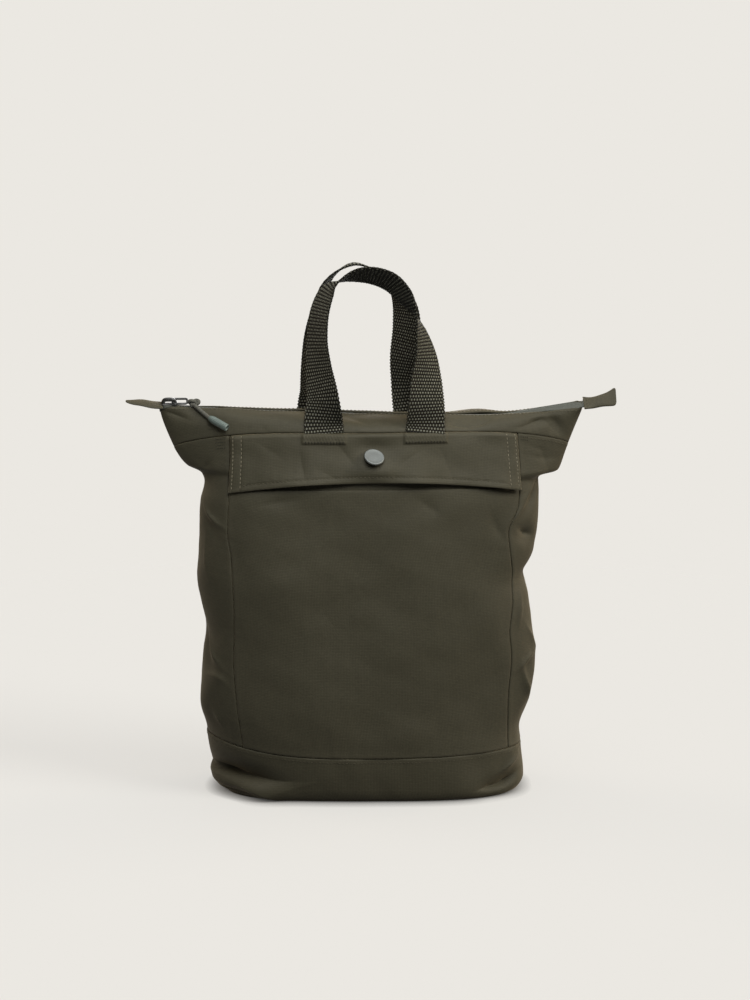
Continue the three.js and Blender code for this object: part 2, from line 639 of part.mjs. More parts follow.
// Cord: a knot on the puller's frame, a short cord over the edge of the yoke, and a moulded end
const onYoke = ([q, w, lift]) => clothPoint(yokePoint, q, w, lift);
const knotX = SLIDER.x + PULLER.start + PULLER.length + SEAM_GAP + KNOT.radius;
const knotPlace = new THREE.Vector3(knotX, KNOT.y, zipHeight(knotX) + KNOT.rise);
const knot = addPiece("pull_knot", new THREE.SphereGeometry(KNOT.radius, ...KNOT.facets), CORD_LOOK);
knot.position.copy(knotPlace);
const cordPlaces = CORD_ROUTE.map(onYoke);
const cordStart = cordPlaces[0].clone().sub(knotPlace).setLength(KNOT.radius + SEAM_GAP).add(knotPlace);
const cordLine = new THREE.CatmullRomCurve3([cordStart, ...cordPlaces]);
const cordSection = new THREE.Shape().absarc(0, 0, CORD_RADIUS, 0, 2 * Math.PI);
const cordForm = { steps: CORD_STEPS, extrudePath: cordLine, curveSegments: 4 };
addPiece("pull_cord", new THREE.ExtrudeGeometry(cordSection, cordForm), CORD_LOOK);
const [endStart, endTip] = END_ROUTE.map(onYoke);
function endGeometry() {
  const { radius, neck, shoulder, chamfer, facets } = PULL_END;
  const length = endStart.distanceTo(endTip);
  const profile = [
    new THREE.Vector2(0, 0),
    new THREE.Vector2(neck, 0),
    new THREE.Vector2(radius, shoulder),
    new THREE.Vector2(radius, length - chamfer),
    new THREE.Vector2(radius - chamfer, length),
    new THREE.Vector2(0, length),
  ];
  return new THREE.LatheGeometry(profile, facets);
}
const pullEnd = addPiece("pull_end", endGeometry(), RUBBER_LOOK);
pullEnd.position.copy(endStart);
pullEnd.quaternion.setFromUnitVectors(new THREE.Vector3(0, 1, 0), endTip.clone().sub(endStart).normalize());

export default bag;
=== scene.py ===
"""Waterproof backpack: cloth, webbing, stitching and metal parts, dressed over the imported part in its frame.

Tables and shapes are in millimetres, as a maker would note them, and become metres as they enter a mesh.
"""

from types import SimpleNamespace

import bpy
import numpy as np
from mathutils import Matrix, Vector


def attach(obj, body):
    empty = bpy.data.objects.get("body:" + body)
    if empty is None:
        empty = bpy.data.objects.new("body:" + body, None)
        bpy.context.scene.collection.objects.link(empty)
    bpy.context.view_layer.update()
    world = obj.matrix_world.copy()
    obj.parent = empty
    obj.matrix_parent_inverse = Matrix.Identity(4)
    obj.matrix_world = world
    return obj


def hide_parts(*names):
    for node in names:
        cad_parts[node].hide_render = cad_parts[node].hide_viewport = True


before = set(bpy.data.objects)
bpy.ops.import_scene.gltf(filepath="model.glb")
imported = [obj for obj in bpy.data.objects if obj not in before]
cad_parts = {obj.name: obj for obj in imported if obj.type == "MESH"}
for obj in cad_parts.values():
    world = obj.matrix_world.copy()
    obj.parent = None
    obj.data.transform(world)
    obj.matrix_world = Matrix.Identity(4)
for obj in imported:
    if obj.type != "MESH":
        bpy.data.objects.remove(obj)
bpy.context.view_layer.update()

MM = 0.001
TINY = 1e-3

# Camera: a little left of the middle and above the bag, with a long lens
CAMERA_AT = Vector((-0.0994, -1.9536, 0.7118))
CAMERA_AIM = Vector((0.003, 0.0, 0.296))
CAMERA_LENS = 72.5
camera = bpy.data.objects.new("camera", bpy.data.cameras.new("camera"))
camera.data.lens = CAMERA_LENS
camera.location = CAMERA_AT
camera.rotation_euler = (CAMERA_AIM - CAMERA_AT).to_track_quat("-Z", "Y").to_euler()
bpy.context.collection.objects.link(camera)
bpy.context.scene.camera = camera
bpy.context.scene.view_settings.view_transform = "Standard"

# The bag's form
CLOTH = 1.3
FLAP_CLOTH = 1.8
LAYER_GAP = 0.4
WEB_WIDTH = 38
WEB_THICK = 2.2
WEB_EDGE = 0.9
FLOAT_SPACING = 3.0
ROW_SPACING = 3.17
FLOAT_HEIGHT = 0.2
ROW_NOTCH = 0.6
BASE_SEAM = SimpleNamespace(front=47, left=16, right=2, power=3)
YOKE_SEAM = SimpleNamespace(middle=370, drop=16, power=4, reach=197)
HEM = SimpleNamespace(middle=322, drop=12)
FLAP = SimpleNamespace(seat=1, stand=2.1, waves=5, waviness=-0.28)
# Where the flap's hem stands off more than the rest, or less: share of the way across, half-width, share
# of the stand-off
HEM_BULGES = [
    [0.09, 0.06, -0.5],
    [0.29, 0.06, 1.3],
    [0.47, 0.09, -1.05],
    [0.64, 0.05, 1.3],
    [0.8, 0.06, -0.6],
    [0.93, 0.045, 1.0],
]
POCKET_TOP = 0.83
TAPE_END = SimpleNamespace(half=3.2, tongue=7, slope=0.12, patch=(3.506, 3.68), turned=0.32)
ZIP = SimpleNamespace(
    half=211, half_left=210.5, tape_half=4, closing=0.8, thick=1.0, tuck=0.8, lip=0.45, groove=0.5
)
YOKE_BEND = SimpleNamespace(below=0.98, rise=0.7, over=0.62, dip=0.15)
FOLD_THROUGH = 25

# Sections from the floor to the yoke: height, half-widths left and right, distances of the left and right
# upright seams from the middle, half-depths front and back, squareness of the outline, turn about the
# vertical
SECTIONS = np.array([
    [0, 148, 143, 124, 128, 53, 51, 3.0, -2.5],
    [4, 157, 149, 127, 133, 57, 56, 3.0, -2.5],
    [14, 164, 154, 129, 136, 60, 59, 2.8, -2.2],
    [38, 165, 152, 129, 136, 62, 60, 2.5, -1.5],
    [62, 166, 150, 131, 135, 62, 60, 2.5, -0.8],
    [96, 171, 160, 136, 134, 60, 58, 2.5, 0],
    [144, 169, 164, 139, 137, 57, 56, 2.5, 0],
    [168, 167, 161, 138, 135, 56, 55, 2.5, 0],
    [200, 172, 157, 138, 138, 54, 53, 2.5, 0],
    [222, 174, 154, 139, 138, 53, 52, 2.5, 0],
    [248, 172, 162, 140, 135, 51, 50, 2.45, 0],
    [268, 171, 165, 143, 133, 50, 49, 2.4, 0],
    [298, 170, 166, 142, 143, 48, 47, 2.3, 0],
    [318, 166, 166, 141, 144, 46, 45, 2.1, 0],
    [326, 169, 184.5, 141, 144, 45, 44, 1.88, 0],
    [332, 182, 187.3, 140, 144, 44, 43, 1.75, 0],
    [344, 191, 192, 140, 143, 42, 41, 1.6, 0],
    [358, 197, 197, 140, 142, 40, 39, 1.5, 0],
    [374, 202, 202, 140, 142, 37, 36, 1.45, 0],
])

# Height of the zip along the bag's width, and how much its back edge stands above its middle
ZIP_LINE = np.array([
    [-210, 394, 0],
    [-165, 392, 0],
    [-110, 388.8, 0],
    [-40, 386, 0],
    [20, 383.5, 0],
    [125, 382.5, 0],
    [166, 386.6, 1.3],
    [209, 391.6, 3],
])

# Dents (negative) and swells: place round the bag, height (on the yoke its share), direction in degrees,
# half-length, half-width, depth
WALL_FOLDS = [
    [0.0, 30, -8, 34, 9, -3],
    [0.08, 11, -12, 26, 8, 2],
    [0.97, 17, 12, 17, 7, -2],
    [1.05, 40, 62, 22, 6, 1.5],
    [3.8, 285, -58, 20, 6, -2],
    [3.72, 152, -65, 24, 8, -4],
    [3.7, 98, 70, 30, 13, 3],
    [1.16, 262, -20, 16, 8, -3],
    [1.3, 222, 15, 26, 10, -3],
    [1.22, 120, 78, 28, 8, 3.5],
    [1.2, 305, 55, 20, 7, -4],
    [0.3, 270, 40, 60, 26, -2.5],
    [0.68, 235, -50, 70, 30, 2.5],
    [2.35, 210, 30, 80, 34, -3],
    [0.5, 334, 0, 22, 9, 4.6],
    [0.5, 357, 0, 20, 8, -3.4],
]
YOKE_FOLDS = [
    [1.13, 0.4, 4, 12, 5, -3],
    [1.26, 0.32, -40, 11, 5, -3],
    [0.78, 0.5, 6, 26, 9, -2.5],
    [2.14, 0.62, 0, 24, 10, 4],
    [3.9, 0.55, -20, 20, 8, -2.5],
]
# Sharp creases: place, height (on the yoke its share), direction in degrees, half-length, reach to the
# left of that direction and to its right, bow towards its left at the half-length, and height (negative
# for a valley)
WALL_CREASES = [
    [3.833, 286.5, -42, 15, 2.2, 6, 2, 4.4],
    [3.782, 244.5, -81, 17, 4, 4, 1, 1.8],
    [3.807, 149.5, -54, 16, 2.2, 6, 2, 3.8],
    [3.869, 126.5, -13, 12, 3, 12, -3, 2.6],
    [3.857, 82.5, -67, 9, 3, 3, 0, 2.2],
    [3.811, 335.5, 37, 7, 4, 4, 0, -1.6],
    [3.985, 24, -7, 34, 6.5, 4, 2, -12],
    [3.6, 27, 0, 30, 4, 3, 0, -3.5],
    [3.6, 20, 0, 30, 4, 4, 0, 1.5],
    [3.85, 25, 0, 20, 8, 3, 0, -8],
    [3.9, 5, 0, 26, 9, 9, 0, -4],
    [0.043, 9.5, -14, 23, 8, 3, -2, 5],
    [0.185, 15, 18, 29, 9, 4, 0, 1.0],
    [0.937, 11, 4, 11, 6, 3, 0, -6],
    [0.999, 15, 21, 14, 7, 3, 1, -9],
    [1.037, 33.5, 38, 15, 2, 4, 1, 3.2],
    [1.093, 188.5, 86, 14, 5, 3, 0, 2.6],
    [1.246, 160, -65, 14, 3, 5, 0, 3],
    [1.151, 138, 38, 12, 4, 3, 0, 3.4],
    [1.145, 114.5, -68, 18, 4, 4, 1, 4.4],
    [1.163, 310, 45, 11, 3, 3, 0, 2.4],
    [1.051, 294, 62, 18, 6, 3, 1, 2.6],
    [1.155, 266, -25, 10, 7, 2.5, 1, -5],
    [1.141, 350, -22, 13, 3, 3.5, 0, -0.8],
    [1.191, 340, -8, 15, 3, 3.5, 1, -0.9],
    [1.202, 341, -66, 11, 3, 3.5, 0, -0.7],
    [0.393, 352, -55, 16, 4, 6, 1, -1.1],
    [0.623, 347.5, 33, 16, 4, 6, -1, -0.9],
    [0.145, 352, -31, 14, 5, 6, 0, -0.8],
    [0.251, 336.5, -79, 16, 5, 6, 1, -1.1],
    [0.741, 340, -73, 17.7, 6, 7, 0, -0.9],
    [0.343, 329.5, -26, 11, 5, 6, 0, -0.8],
    [0.953, 275, -51, 15, 4, 6, 1, -2.2],
    [0.687, 298, -35, 14, 5, 7, 0, -1.8],
    [0.169, 303.5, 10, 22, 5, 7, 0, -2.0],
]
YOKE_CREASES = [
    [1.073, 0.30, 30, 14, 3, 5, 1, -1.8],
    [1.232, 0.24, -35, 9, 3, 4, 0, -1.8],
    [0.447, 0.56, -39, 16, 9, 7, 1, -1.9],
    [0.785, 0.33, -14, 10, 5, 4, 0, -2.2],
    [0.857, 0.37, 34, 15, 6, 4, 1, -2.8],
    [3.67, 0.56, -26, 13, 6, 4, 0, -2.4],
]


def unit(vectors):
    """Vectors scaled to length 1."""
    return vectors / np.maximum(np.linalg.norm(vectors, axis=-1, keepdims=True), 1e-9)


def bell(distance, width):
    """1 at a distance of 0, falling to 1/e at a width on both sides: exp(-(distance/width)^2)."""
    return np.exp(-((distance / width) ** 2))


def soft_step(distance, width):
    """A step from 0 to 1 at a distance of 0, softened over a width: 1/(1 + exp(-distance/width))."""
    return 1 / (1 + np.exp(-distance / width))


def joined(*coordinates):
    """A grid of points from their coordinates, each spread over the whole grid."""
    return np.stack(np.broadcast_arrays(*coordinates), -1)


def round_angles(count):
    """Even angles once round a circle."""
    return np.arange(count) / count * 2 * np.pi


def column(rows, c, key):
    """Column c of a table at a key: the cubic through its rows, its slopes the harmonic mean of both
    neighbours' rates so that it never overshoots."""
    x, y = rows[:, 0], rows[:, c]
    rate = np.diff(y) / np.diff(x)
    before, after = rate[:-1], rate[1:]
    both = np.where(before + after == 0, 1, before + after)
    slope = np.concatenate([rate[:1], np.where(before * after > 0, 2 * before * after / both, 0), rate[-1:]])
    k = np.clip(key, x[0], x[-1])
    i = np.clip(np.searchsorted(x, k, side="right") - 1, 0, len(x) - 2)
    span = x[i + 1] - x[i]
    t = (k - x[i]) / span
    s = 1 - t
    start = (1 + 2 * t) * s * s * y[i] + t * s * s * span * slope[i]
    return start + t * t * (3 - 2 * t) * y[i + 1] - t * t * s * span * slope[i + 1]


def ring(q, z):
    """The bag's outline at height z, a superellipse with its own half-widths and half-depths, turned
    about the vertical. q runs 0 to 1 across the front in even steps of x, 1 to 2 round the right side in
    even steps of angle, 2 to 3 across the back and 3 to 4 round the left side."""
    q, z = np.broadcast_arrays(np.mod(np.asarray(q, float), 4), np.asarray(z, float))
    left, right, seam_left, seam_right, front, back, n, turn = (column(SECTIONS, c, z) for c in range(1, 9))
    panel = np.floor(q)
    t = q - panel

    def fall(share):
        """Share of the half-depth at a share of the half-width: the n-th root of 1 less its n-th power."""
        return np.maximum(0, 1 - np.minimum(share, 1) ** n) ** (1 / n)

    x = -seam_left + np.where(panel == 0, t, 1 - t) * (seam_left + seam_right)
    y = np.where(panel == 0, -front, back) * fall(np.abs(x) / np.where(x < 0, left, right))
    half = np.where(panel == 1, right, left)
    seam = np.where(panel == 1, seam_right, seam_left) / half
    first = np.arctan2(seam, fall(seam))
    angle = first + np.where(panel == 1, t, 1 - t) * (np.pi - 2 * first)
    sin, cos = np.sin(angle), np.cos(angle)
    reach = (np.abs(sin) ** n + np.abs(cos) ** n) ** (-1 / n)
    flat = panel % 2 == 0
    x = np.where(flat, x, np.where(panel == 1, half, -half) * sin * reach)
    y = np.where(flat, y, np.where(cos > 0, -front, -back) * cos * reach)
    a = np.radians(turn)
    return np.stack([x * np.cos(a) - y * np.sin(a), x * np.sin(a) + y * np.cos(a), z], -1)


def across_at(x, z):
    """Share of the way across the front at a distance x from the middle, at height z."""
    seam_left, seam_right = column(SECTIONS, 3, z), column(SECTIONS, 4, z)
    return (x + seam_left) / (seam_left + seam_right)


def base_seam(q):
    """Height of the base seam: level in front, with a cubic rise to each side."""
    x = ring(q, BASE_SEAM.front)[..., 0]
    half = np.where(x < 0, column(SECTIONS, 1, BASE_SEAM.front), column(SECTIONS, 2, BASE_SEAM.front))
    rise = np.where(x < 0, BASE_SEAM.left, BASE_SEAM.right)
    return BASE_SEAM.front + rise * (np.abs(x) / half) ** BASE_SEAM.power


def yoke_seam(q):
    """Height of the yoke seam: level in the middle, with a drop of the fourth power to the wing tips."""
    x = ring(q, YOKE_SEAM.middle)[..., 0]
    return YOKE_SEAM.middle - YOKE_SEAM.drop * (np.abs(x) / YOKE_SEAM.reach) ** YOKE_SEAM.power


def wall(q, v):
    """The wall, v from the base seam to the yoke seam."""
    low, high = base_seam(q), yoke_seam(q)
    return ring(q, low + (high - low) * v)


def zip_edge(q):
    """Edge of the yoke along the zip, drawn in from the yoke seam to half the tape's width."""
    foot = wall(q, 1)
    x = foot[..., 0] * np.where(foot[..., 0] < 0, ZIP.half_left, ZIP.half) / YOKE_SEAM.reach
    y = np.clip(foot[..., 1] * ZIP.closing, -ZIP.tape_half, ZIP.tape_half)
    lean = column(ZIP_LINE, 2, x) * y / ZIP.tape_half
    return np.stack([x, y, column(ZIP_LINE, 1, x) + lean], -1)


def yoke(q, w):
    """The yoke, a cubic Bezier line that leaves the wall straight on and bends over to the zip."""
    q, w = np.broadcast_arrays(np.asarray(q, float), np.asarray(w, float))
    foot, top = wall(q, 1), zip_edge(q)
    up = unit(foot - wall(q, YOKE_BEND.below))
    rise = (top - foot)[..., 2:]
    along = foot + up * YOKE_BEND.rise * rise
    over = top.copy()
    over[..., 1] += YOKE_BEND.over * (foot - top)[..., 1]
    over[..., 2:] -= YOKE_BEND.dip * rise
    w = w[..., None]
    s = 1 - w
    return s**3 * foot + 3 * s * s * w * along + 3 * s * w * w * over + w**3 * top


def weave_height(across, along):
    """Height of the webbing's floats, -1 to 1, in staggered rows: cos across times cos along."""
    return np.cos(2 * np.pi * across / FLOAT_SPACING) * np.cos(np.pi * along / ROW_SPACING)


def hem(q):
    """Height of the flap's lower edge, a shallow parabola."""
    return HEM.middle - HEM.drop * (2 * q - 1) ** 2


def flap_ground(q, v):
    """The ground under the flap, v from the hem to the yoke seam: a parabola through the wall's outline
    at the hem, halfway up and at the yoke seam, so that the stiff flap doesn't follow the wall's sharp
    bend at the wing."""
    low, high = hem(q), yoke_seam(q)
    foot, middle, top = (ring(q, low + (high - low) * share) for share in (0, 0.5, 1))
    v = np.asarray(v)[..., None]
    return (1 - v) * (1 - 2 * v) * foot + 4 * v * (1 - v) * middle + v * (2 * v - 1) * top


def flap_lift(q, v):
    """Room between flap and pocket: a small seat at the top and a wavy stand-off that grows towards the
    hem."""
    wave = 1 - FLAP.waviness + FLAP.waviness * np.cos(FLAP.waves * np.pi * q)
    for place, width, height in HEM_BULGES:
        wave = wave + height * bell(q - place, width)
    return FLAP.seat + FLAP.stand * wave * (1 - v) ** 2


def facing(surface, q, v):
    """A surface's points, its two directions by central differences, and their cross product, the outward
    normal."""
    along = unit(surface(q + TINY, v) - surface(q - TINY, v))
    up = unit(surface(q, v + TINY) - surface(q, v - TINY))
    return surface(q, v), along, up, unit(np.cross(along, up))


def fold_frames(surface, rows):
    """Each fold as a centre, its line, the way across it and its normal, followed by its sizes."""
    frames = []
    for q, v, degrees, *sizes in rows:
        centre, along, up, normal = facing(surface, q, v)
        line = unit(along * np.cos(np.radians(degrees)) + up * np.sin(np.radians(degrees)))
        frames.append((centre, line, unit(np.cross(normal, line)), normal, *sizes))
    return frames


FOLDS = fold_frames(ring, WALL_FOLDS) + fold_frames(yoke, YOKE_FOLDS)
CREASES = fold_frames(ring, WALL_CREASES) + fold_frames(yoke, YOKE_CREASES)


def fold_depth(points):
    """Sum of all folds and creases. A fold is a bell along, across and through the cloth. A crease is a
    bell along and through it and a peak, exp(-|c|), across it, over a line that bows with the square of
    the length."""
    depth = np.zeros(points.shape[:-1])
    for centre, line, cross, normal, length, width, height in FOLDS:
        away = points - centre
        along, across, through = (away @ way for way in (line, cross, normal))
        depth += height * bell(along, length) * bell(across, width) * bell(through, FOLD_THROUGH)
    for centre, line, cross, normal, length, left_reach, right_reach, bow, height in CREASES:
        away = points - centre
        along = away @ line / length
        across = away @ cross - bow * along**2
        peak = np.exp(-np.abs(across) / np.where(across > 0, left_reach, right_reach))
        depth += height * bell(along, 1) * bell(away @ normal, FOLD_THROUGH) * peak
    return depth


def folded(surface, q, v, offset):
    """Points of the folded cloth, moved out along the smooth normal by an offset."""
    points, _, _, normal = facing(surface, q, v)
    return points + normal * np.asarray(fold_depth(points) + offset)[..., None]


# Materials
def ink(code):
    """sRGB hex colour as linear RGBA."""
    s = np.array([int(code[i : i + 2], 16) for i in (1, 3, 5)]) / 255
    return (*np.where(s <= 0.04045, s / 12.92, ((s + 0.055) / 1.055) ** 2.4), 1.0)


def add(look, kind, inputs, **settings):
    """Adds a shader node of a kind to a material or world: its settings, then its inputs, each a link or
    a plain value."""
    node = look.node_tree.nodes.new("ShaderNode" + kind)
    for key, value in settings.items():
        setattr(node, key, value)
    for key, value in inputs.items():
        if isinstance(value, bpy.types.NodeSocket):
            look.node_tree.links.new(value, node.inputs[key])
        else:
            node.inputs[key].default_value = value
    return node.outputs


def new_look(name):
    """An empty material to add nodes to."""
    look = bpy.data.materials.new(name)
    look.use_nodes = True
    look.node_tree.nodes.clear()
    return look


def close_look(look, shader):
    """Ends a material with its shader."""
    add(look, "OutputMaterial", {"Surface": shader})
    return look


def per_metre(millimetres):
    """Noise scale for features of one size, on coordinates in metres."""
    return 1 / (millimetres * MM)


def bands(millimetres):
    """Wave texture scale for bands of one spacing: the texture repeats every 2 pi / 20 units at scale 1."""
    return 2 * np.pi / 20 / (millimetres * MM)


def coated_cloth():
    """Tightly woven cloth with a waterproof coating: dark olive, a dull sheen, a fine grain of threads, and
    paler by a mark: worn on the ridges along seams, with a painted highlight along the flap's hem and painted
    light over the right zip tab. Threads are really 0.5 mm apart and are drawn at 1.5 mm to show."""
    look = new_look("coated_cloth")
    thread_spacing = 1.5
    place = add(look, "TexCoord", {})
    wave = {"Vector": place["UV"], "Scale": bands(thread_spacing), "Distortion": 0.6, "Detail": 1.0,
            "Detail Scale": 1.5}
    warp, weft = (add(look, "TexWave", wave, bands_direction=axis)["Fac"] for axis in "XY")
    weave = add(look, "Math", {0: warp, 1: weft}, operation="MULTIPLY")[0]
    cloud = add(look, "TexNoise", {"Vector": place["Object"], "Scale": per_metre(45), "Detail": 3.0,
                "Roughness": 0.55})[0]
    slubs = add(look, "Mapping", {"Vector": place["UV"], "Scale": (0.3, 1, 1)})[0]
    grain = add(look, "TexNoise", {"Vector": slubs, "Scale": per_metre(1.5), "Detail": 2.0,
                "Roughness": 0.7})[0]
    # The pale mark: wear on the ridges over seams, a painted highlight along the flap's hem, and painted light
    # that makes the right zip tab paler
    wear_and_light = add(look, "Attribute", {}, attribute_name="wear_and_light")["Fac"]
    dyed = add(look, "Mix", {0: cloud, 6: ink("#29271b"), 7: ink("#2f2d20")}, data_type="RGBA")[2]
    grained = add(look, "Mix", {0: grain, 6: ink("#1b190f"), 7: ink("#403d2e")}, data_type="RGBA")[2]
    mixed = add(look, "Mix", {0: 0.5, 6: dyed, 7: grained}, data_type="RGBA")[2]
    crowns = add(look, "Math", {0: weave, 1: 0.22}, operation="MULTIPLY")[0]
    threads = add(look, "Mix", {0: crowns, 6: mixed, 7: ink("#3d3a2d")}, data_type="RGBA")[2]
    wear_and_light_share = add(look, "Math", {0: wear_and_light, 1: 0.3}, operation="MULTIPLY")[0]
    colour = add(look, "Mix", {0: wear_and_light_share, 6: threads, 7: ink("#4c493c")}, data_type="RGBA")[2]
    shine = add(look, "MapRange", {"Value": cloud, "To Min": 0.64, "To Max": 0.78})[0]
    relief = add(look, "Math", {0: weave, 1: grain}, operation="ADD")[0]
    bump = add(look, "Bump", {"Strength": 0.6, "Distance": 0.00015, "Height": relief})[0]
    shader = add(look, "BsdfPrincipled", {"Base Color": colour, "Roughness": shine, "Normal": bump,
                 "IOR": 1.45, "Specular IOR Level": 0.3, "Sheen Weight": 0.16,
                 "Sheen Tint": ink("#efdcb6"), "Sheen Roughness": 0.4})[0]
    return close_look(look, shader)


def webbing_weave():
    """Coarse woven webbing: pale olive floats in staggered rows, dark yarns between them, and near black in
    the gaps, painted shade, each yarn of fine filaments. The floats are cos across times cos along, the latter
    times its own size so that they are short."""
    look = new_look("webbing_weave")
    place = add(look, "TexCoord", {})["UV"]
    lengths = add(look, "SeparateXYZ", {0: place})
    turns = [add(look, "Math", {0: lengths[axis], 1: rate * per_metre(spacing)}, operation="MULTIPLY")[0]
             for axis, rate, spacing in ((0, 2 * np.pi, FLOAT_SPACING), (1, np.pi, ROW_SPACING))]
    waves = [add(look, "Math", {0: turn}, operation="COSINE")[0] for turn in turns]
    size = add(look, "Math", {0: waves[1]}, operation="ABSOLUTE")[0]
    short = add(look, "Math", {0: waves[1], 1: size}, operation="MULTIPLY")[0]
    crown = add(look, "Math", {0: waves[0], 1: short}, operation="MULTIPLY")[0]
    fibre, fleck = (add(look, "TexNoise", {"Vector": place, "Scale": per_metre(grain), "Detail": detail})[0]
                    for grain, detail in ((0.9, 2.0), (6, 1.0)))
    under = add(look, "Math", {0: crown, 1: -1.0}, operation="MULTIPLY")[0]
    rise, dip = (add(look, "MapRange", {"Value": value, "From Min": low, "From Max": 0.6},
                     interpolation_type="SMOOTHSTEP")[0] for value, low in ((crown, 0.12), (under, 0.1)))
    patchy = add(look, "MapRange", {"Value": fleck, "From Min": 0.3, "From Max": 0.7, "To Min": 0.7})[0]
    share = add(look, "Math", {0: rise, 1: patchy}, operation="MULTIPLY")[0]
    # Near black where neither set of yarns rises: painted shade in the gaps between the floats and the sunk
    # yarns
    floats = add(look, "Mix", {0: fibre, 6: ink("#4b4b42"), 7: ink("#7e7e72")}, data_type="RGBA")[2]
    ground = add(look, "Mix", {0: dip, 6: ink("#0a0906"), 7: ink("#262519")}, data_type="RGBA")[2]
    colour = add(look, "Mix", {0: share, 6: ground, 7: floats}, data_type="RGBA")[2]
    yarn = add(look, "Math", {0: crown}, operation="ABSOLUTE")[0]
    relief = add(look, "Math", {0: fibre, 1: 0.3, 2: yarn}, operation="MULTIPLY_ADD")[0]
    bump = add(look, "Bump", {"Strength": 0.6, "Distance": 0.0004, "Height": relief})[0]
    shader = add(look, "BsdfPrincipled", {"Base Color": colour, "Roughness": 0.82, "Normal": bump,
                 "Specular IOR Level": 0.1})[0]
    return close_look(look, shader)


def grained_look(name, size, detail, dark, pale, roughness, relief=0.0, **sockets):
    """A material of one grain, its size in millimetres: the grain runs between two colours, sets the
    roughness where that has two values, and stands out by a relief."""
    look = new_look(name)
    place = add(look, "TexCoord", {})["Object"]
    grain = add(look, "TexNoise", {"Vector": place, "Scale": per_metre(size), "Detail": detail})[0]
    colour = add(look, "Mix", {0: grain, 6: ink(dark), 7: ink(pale)}, data_type="RGBA")[2]
    inputs = {"Base Color": colour, "Roughness": roughness, **sockets}
    if isinstance(roughness, tuple):
        smooth, rough = roughness
        inputs["Roughness"] = add(look, "MapRange", {"Value": grain, "To Min": smooth, "To Max": rough})[0]
    if relief:
        inputs["Normal"] = add(look, "Bump", {"Strength": relief, "Distance": 0.0001, "Height": grain})[0]
    return close_look(look, add(look, "BsdfPrincipled", inputs)[0])


def braided_cord():
    """Braided polyester cord: dark olive-grey strands that cross over each other, paler on their crowns and
    near black in the grooves between them: painted light and shade by the braid's height.
    """
    look = new_look("braided_cord")
    place = add(look, "TexCoord", {})
    crown = add(look, "Attribute", {}, attribute_name="weave")["Fac"]
    fibre = add(look, "TexNoise", {"Vector": place["UV"], "Scale": per_metre(0.6), "Detail": 2.0})[0]
    # Colour by the braid's height: painted shade in the grooves and painted light on the crowns
    strand = add(look, "Mix", {0: crown, 6: ink("#1a1a15"), 7: ink("#4a493f")}, data_type="RGBA")[2]
    colour = add(look, "Mix", {0: fibre, 6: strand, 7: ink("#3b3b33")}, data_type="RGBA")[2]
    shader = add(look, "BsdfPrincipled", {"Base Color": colour, "Roughness": 0.8, "Sheen Weight": 0.1})[0]
    return close_look(look, shader)


CLOTH_LOOK = coated_cloth()
WEB_LOOK = webbing_weave()
CORD_LOOK = braided_cord()
# Polyester sewing thread: a twisted strand with a faint lustre, uneven in tone from stitch to stitch
thread = {"size": 4, "detail": 1.0, "roughness": 0.7, "Specular IOR Level": 0.2}
TAN_THREAD = grained_look("tan_thread", dark="#5a5547", pale="#7a7463", **thread)
OLIVE_THREAD = grained_look("olive_thread", dark="#322f24", pale="#444032", **thread)
TACK_THREAD = grained_look("tack_thread", dark="#100f0a", pale="#1b1913", **thread)
# Polyurethane-laminated zip tape: smooth grey film with a soft gloss and a faint orange-peel
film = {"Specular IOR Level": 0.25}
ZIP_LOOK = grained_look("zip_laminate", 2, 2.0, "#383a34", "#454741", 0.55, 0.2, **film)
# Lacquered zinc casting: glossy black with fine dust and small unevenness in the gloss
LACQUER_LOOK = grained_look("black_lacquer", 1.5, 3.0, "#0b0b0a", "#1a1a17", (0.22, 0.42), IOR=1.5)
# Blasted and plated steel of a press stud: even satin grey with a fine frosted grain
STEEL_LOOK = grained_look("satin_steel", 0.9, 2.0, "#626665", "#797d7b", (0.48, 0.62), 0.35, Metallic=0.85)
# Moulded soft rubber: matt grey-green with a fine mould grain
RUBBER_LOOK = grained_look("moulded_rubber", 1.2, 2.0, "#3d4843", "#4f5a55", 0.55, 0.2)


# Meshes
def grid_faces(rows, columns, loop_rows=False, loop_columns=False):
    """Quads of a grid of points, closed into a loop along its rows or columns where asked."""
    j = np.arange(rows if loop_rows else rows - 1)[:, None]
    i = np.arange(columns if loop_columns else columns - 1)[None, :]
    next_j, next_i = (j + 1) % rows, (i + 1) % columns
    corners = [j * columns + i, j * columns + next_i, next_j * columns + next_i, next_j * columns + i]
    return joined(*corners).reshape(-1, 4)


def make_piece(name, points, faces, look, nodes=(), uv=None, marks=None):
    """A piece from points in millimetres and faces as lists of point numbers. uv gives two lengths in
    millimetres for each point, and marks a named number for each point."""
    mesh = bpy.data.meshes.new(name)
    mesh.from_pydata((points.reshape(-1, 3) * MM).tolist(), [], faces)
    mesh.polygons.foreach_set("use_smooth", np.ones(len(mesh.polygons), bool))
    corner = np.empty(len(mesh.loops), int)
    mesh.loops.foreach_get("vertex_index", corner)
    if uv is not None:
        layer = mesh.uv_layers.new(name="lengths")
        layer.data.foreach_set("uv", (uv.reshape(-1, 2)[corner] * MM).ravel())
    for mark, values in (marks or {}).items():
        attribute = mesh.attributes.new(mark, "FLOAT", "POINT")
        attribute.data.foreach_set("value", np.ascontiguousarray(values, np.float32).ravel())
    mesh.update()
    mesh.materials.append(look)
    piece = bpy.data.objects.new(name, mesh)
    bpy.context.collection.objects.link(piece)
    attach(piece, "root")
    if nodes:
        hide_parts(*nodes)
    return piece


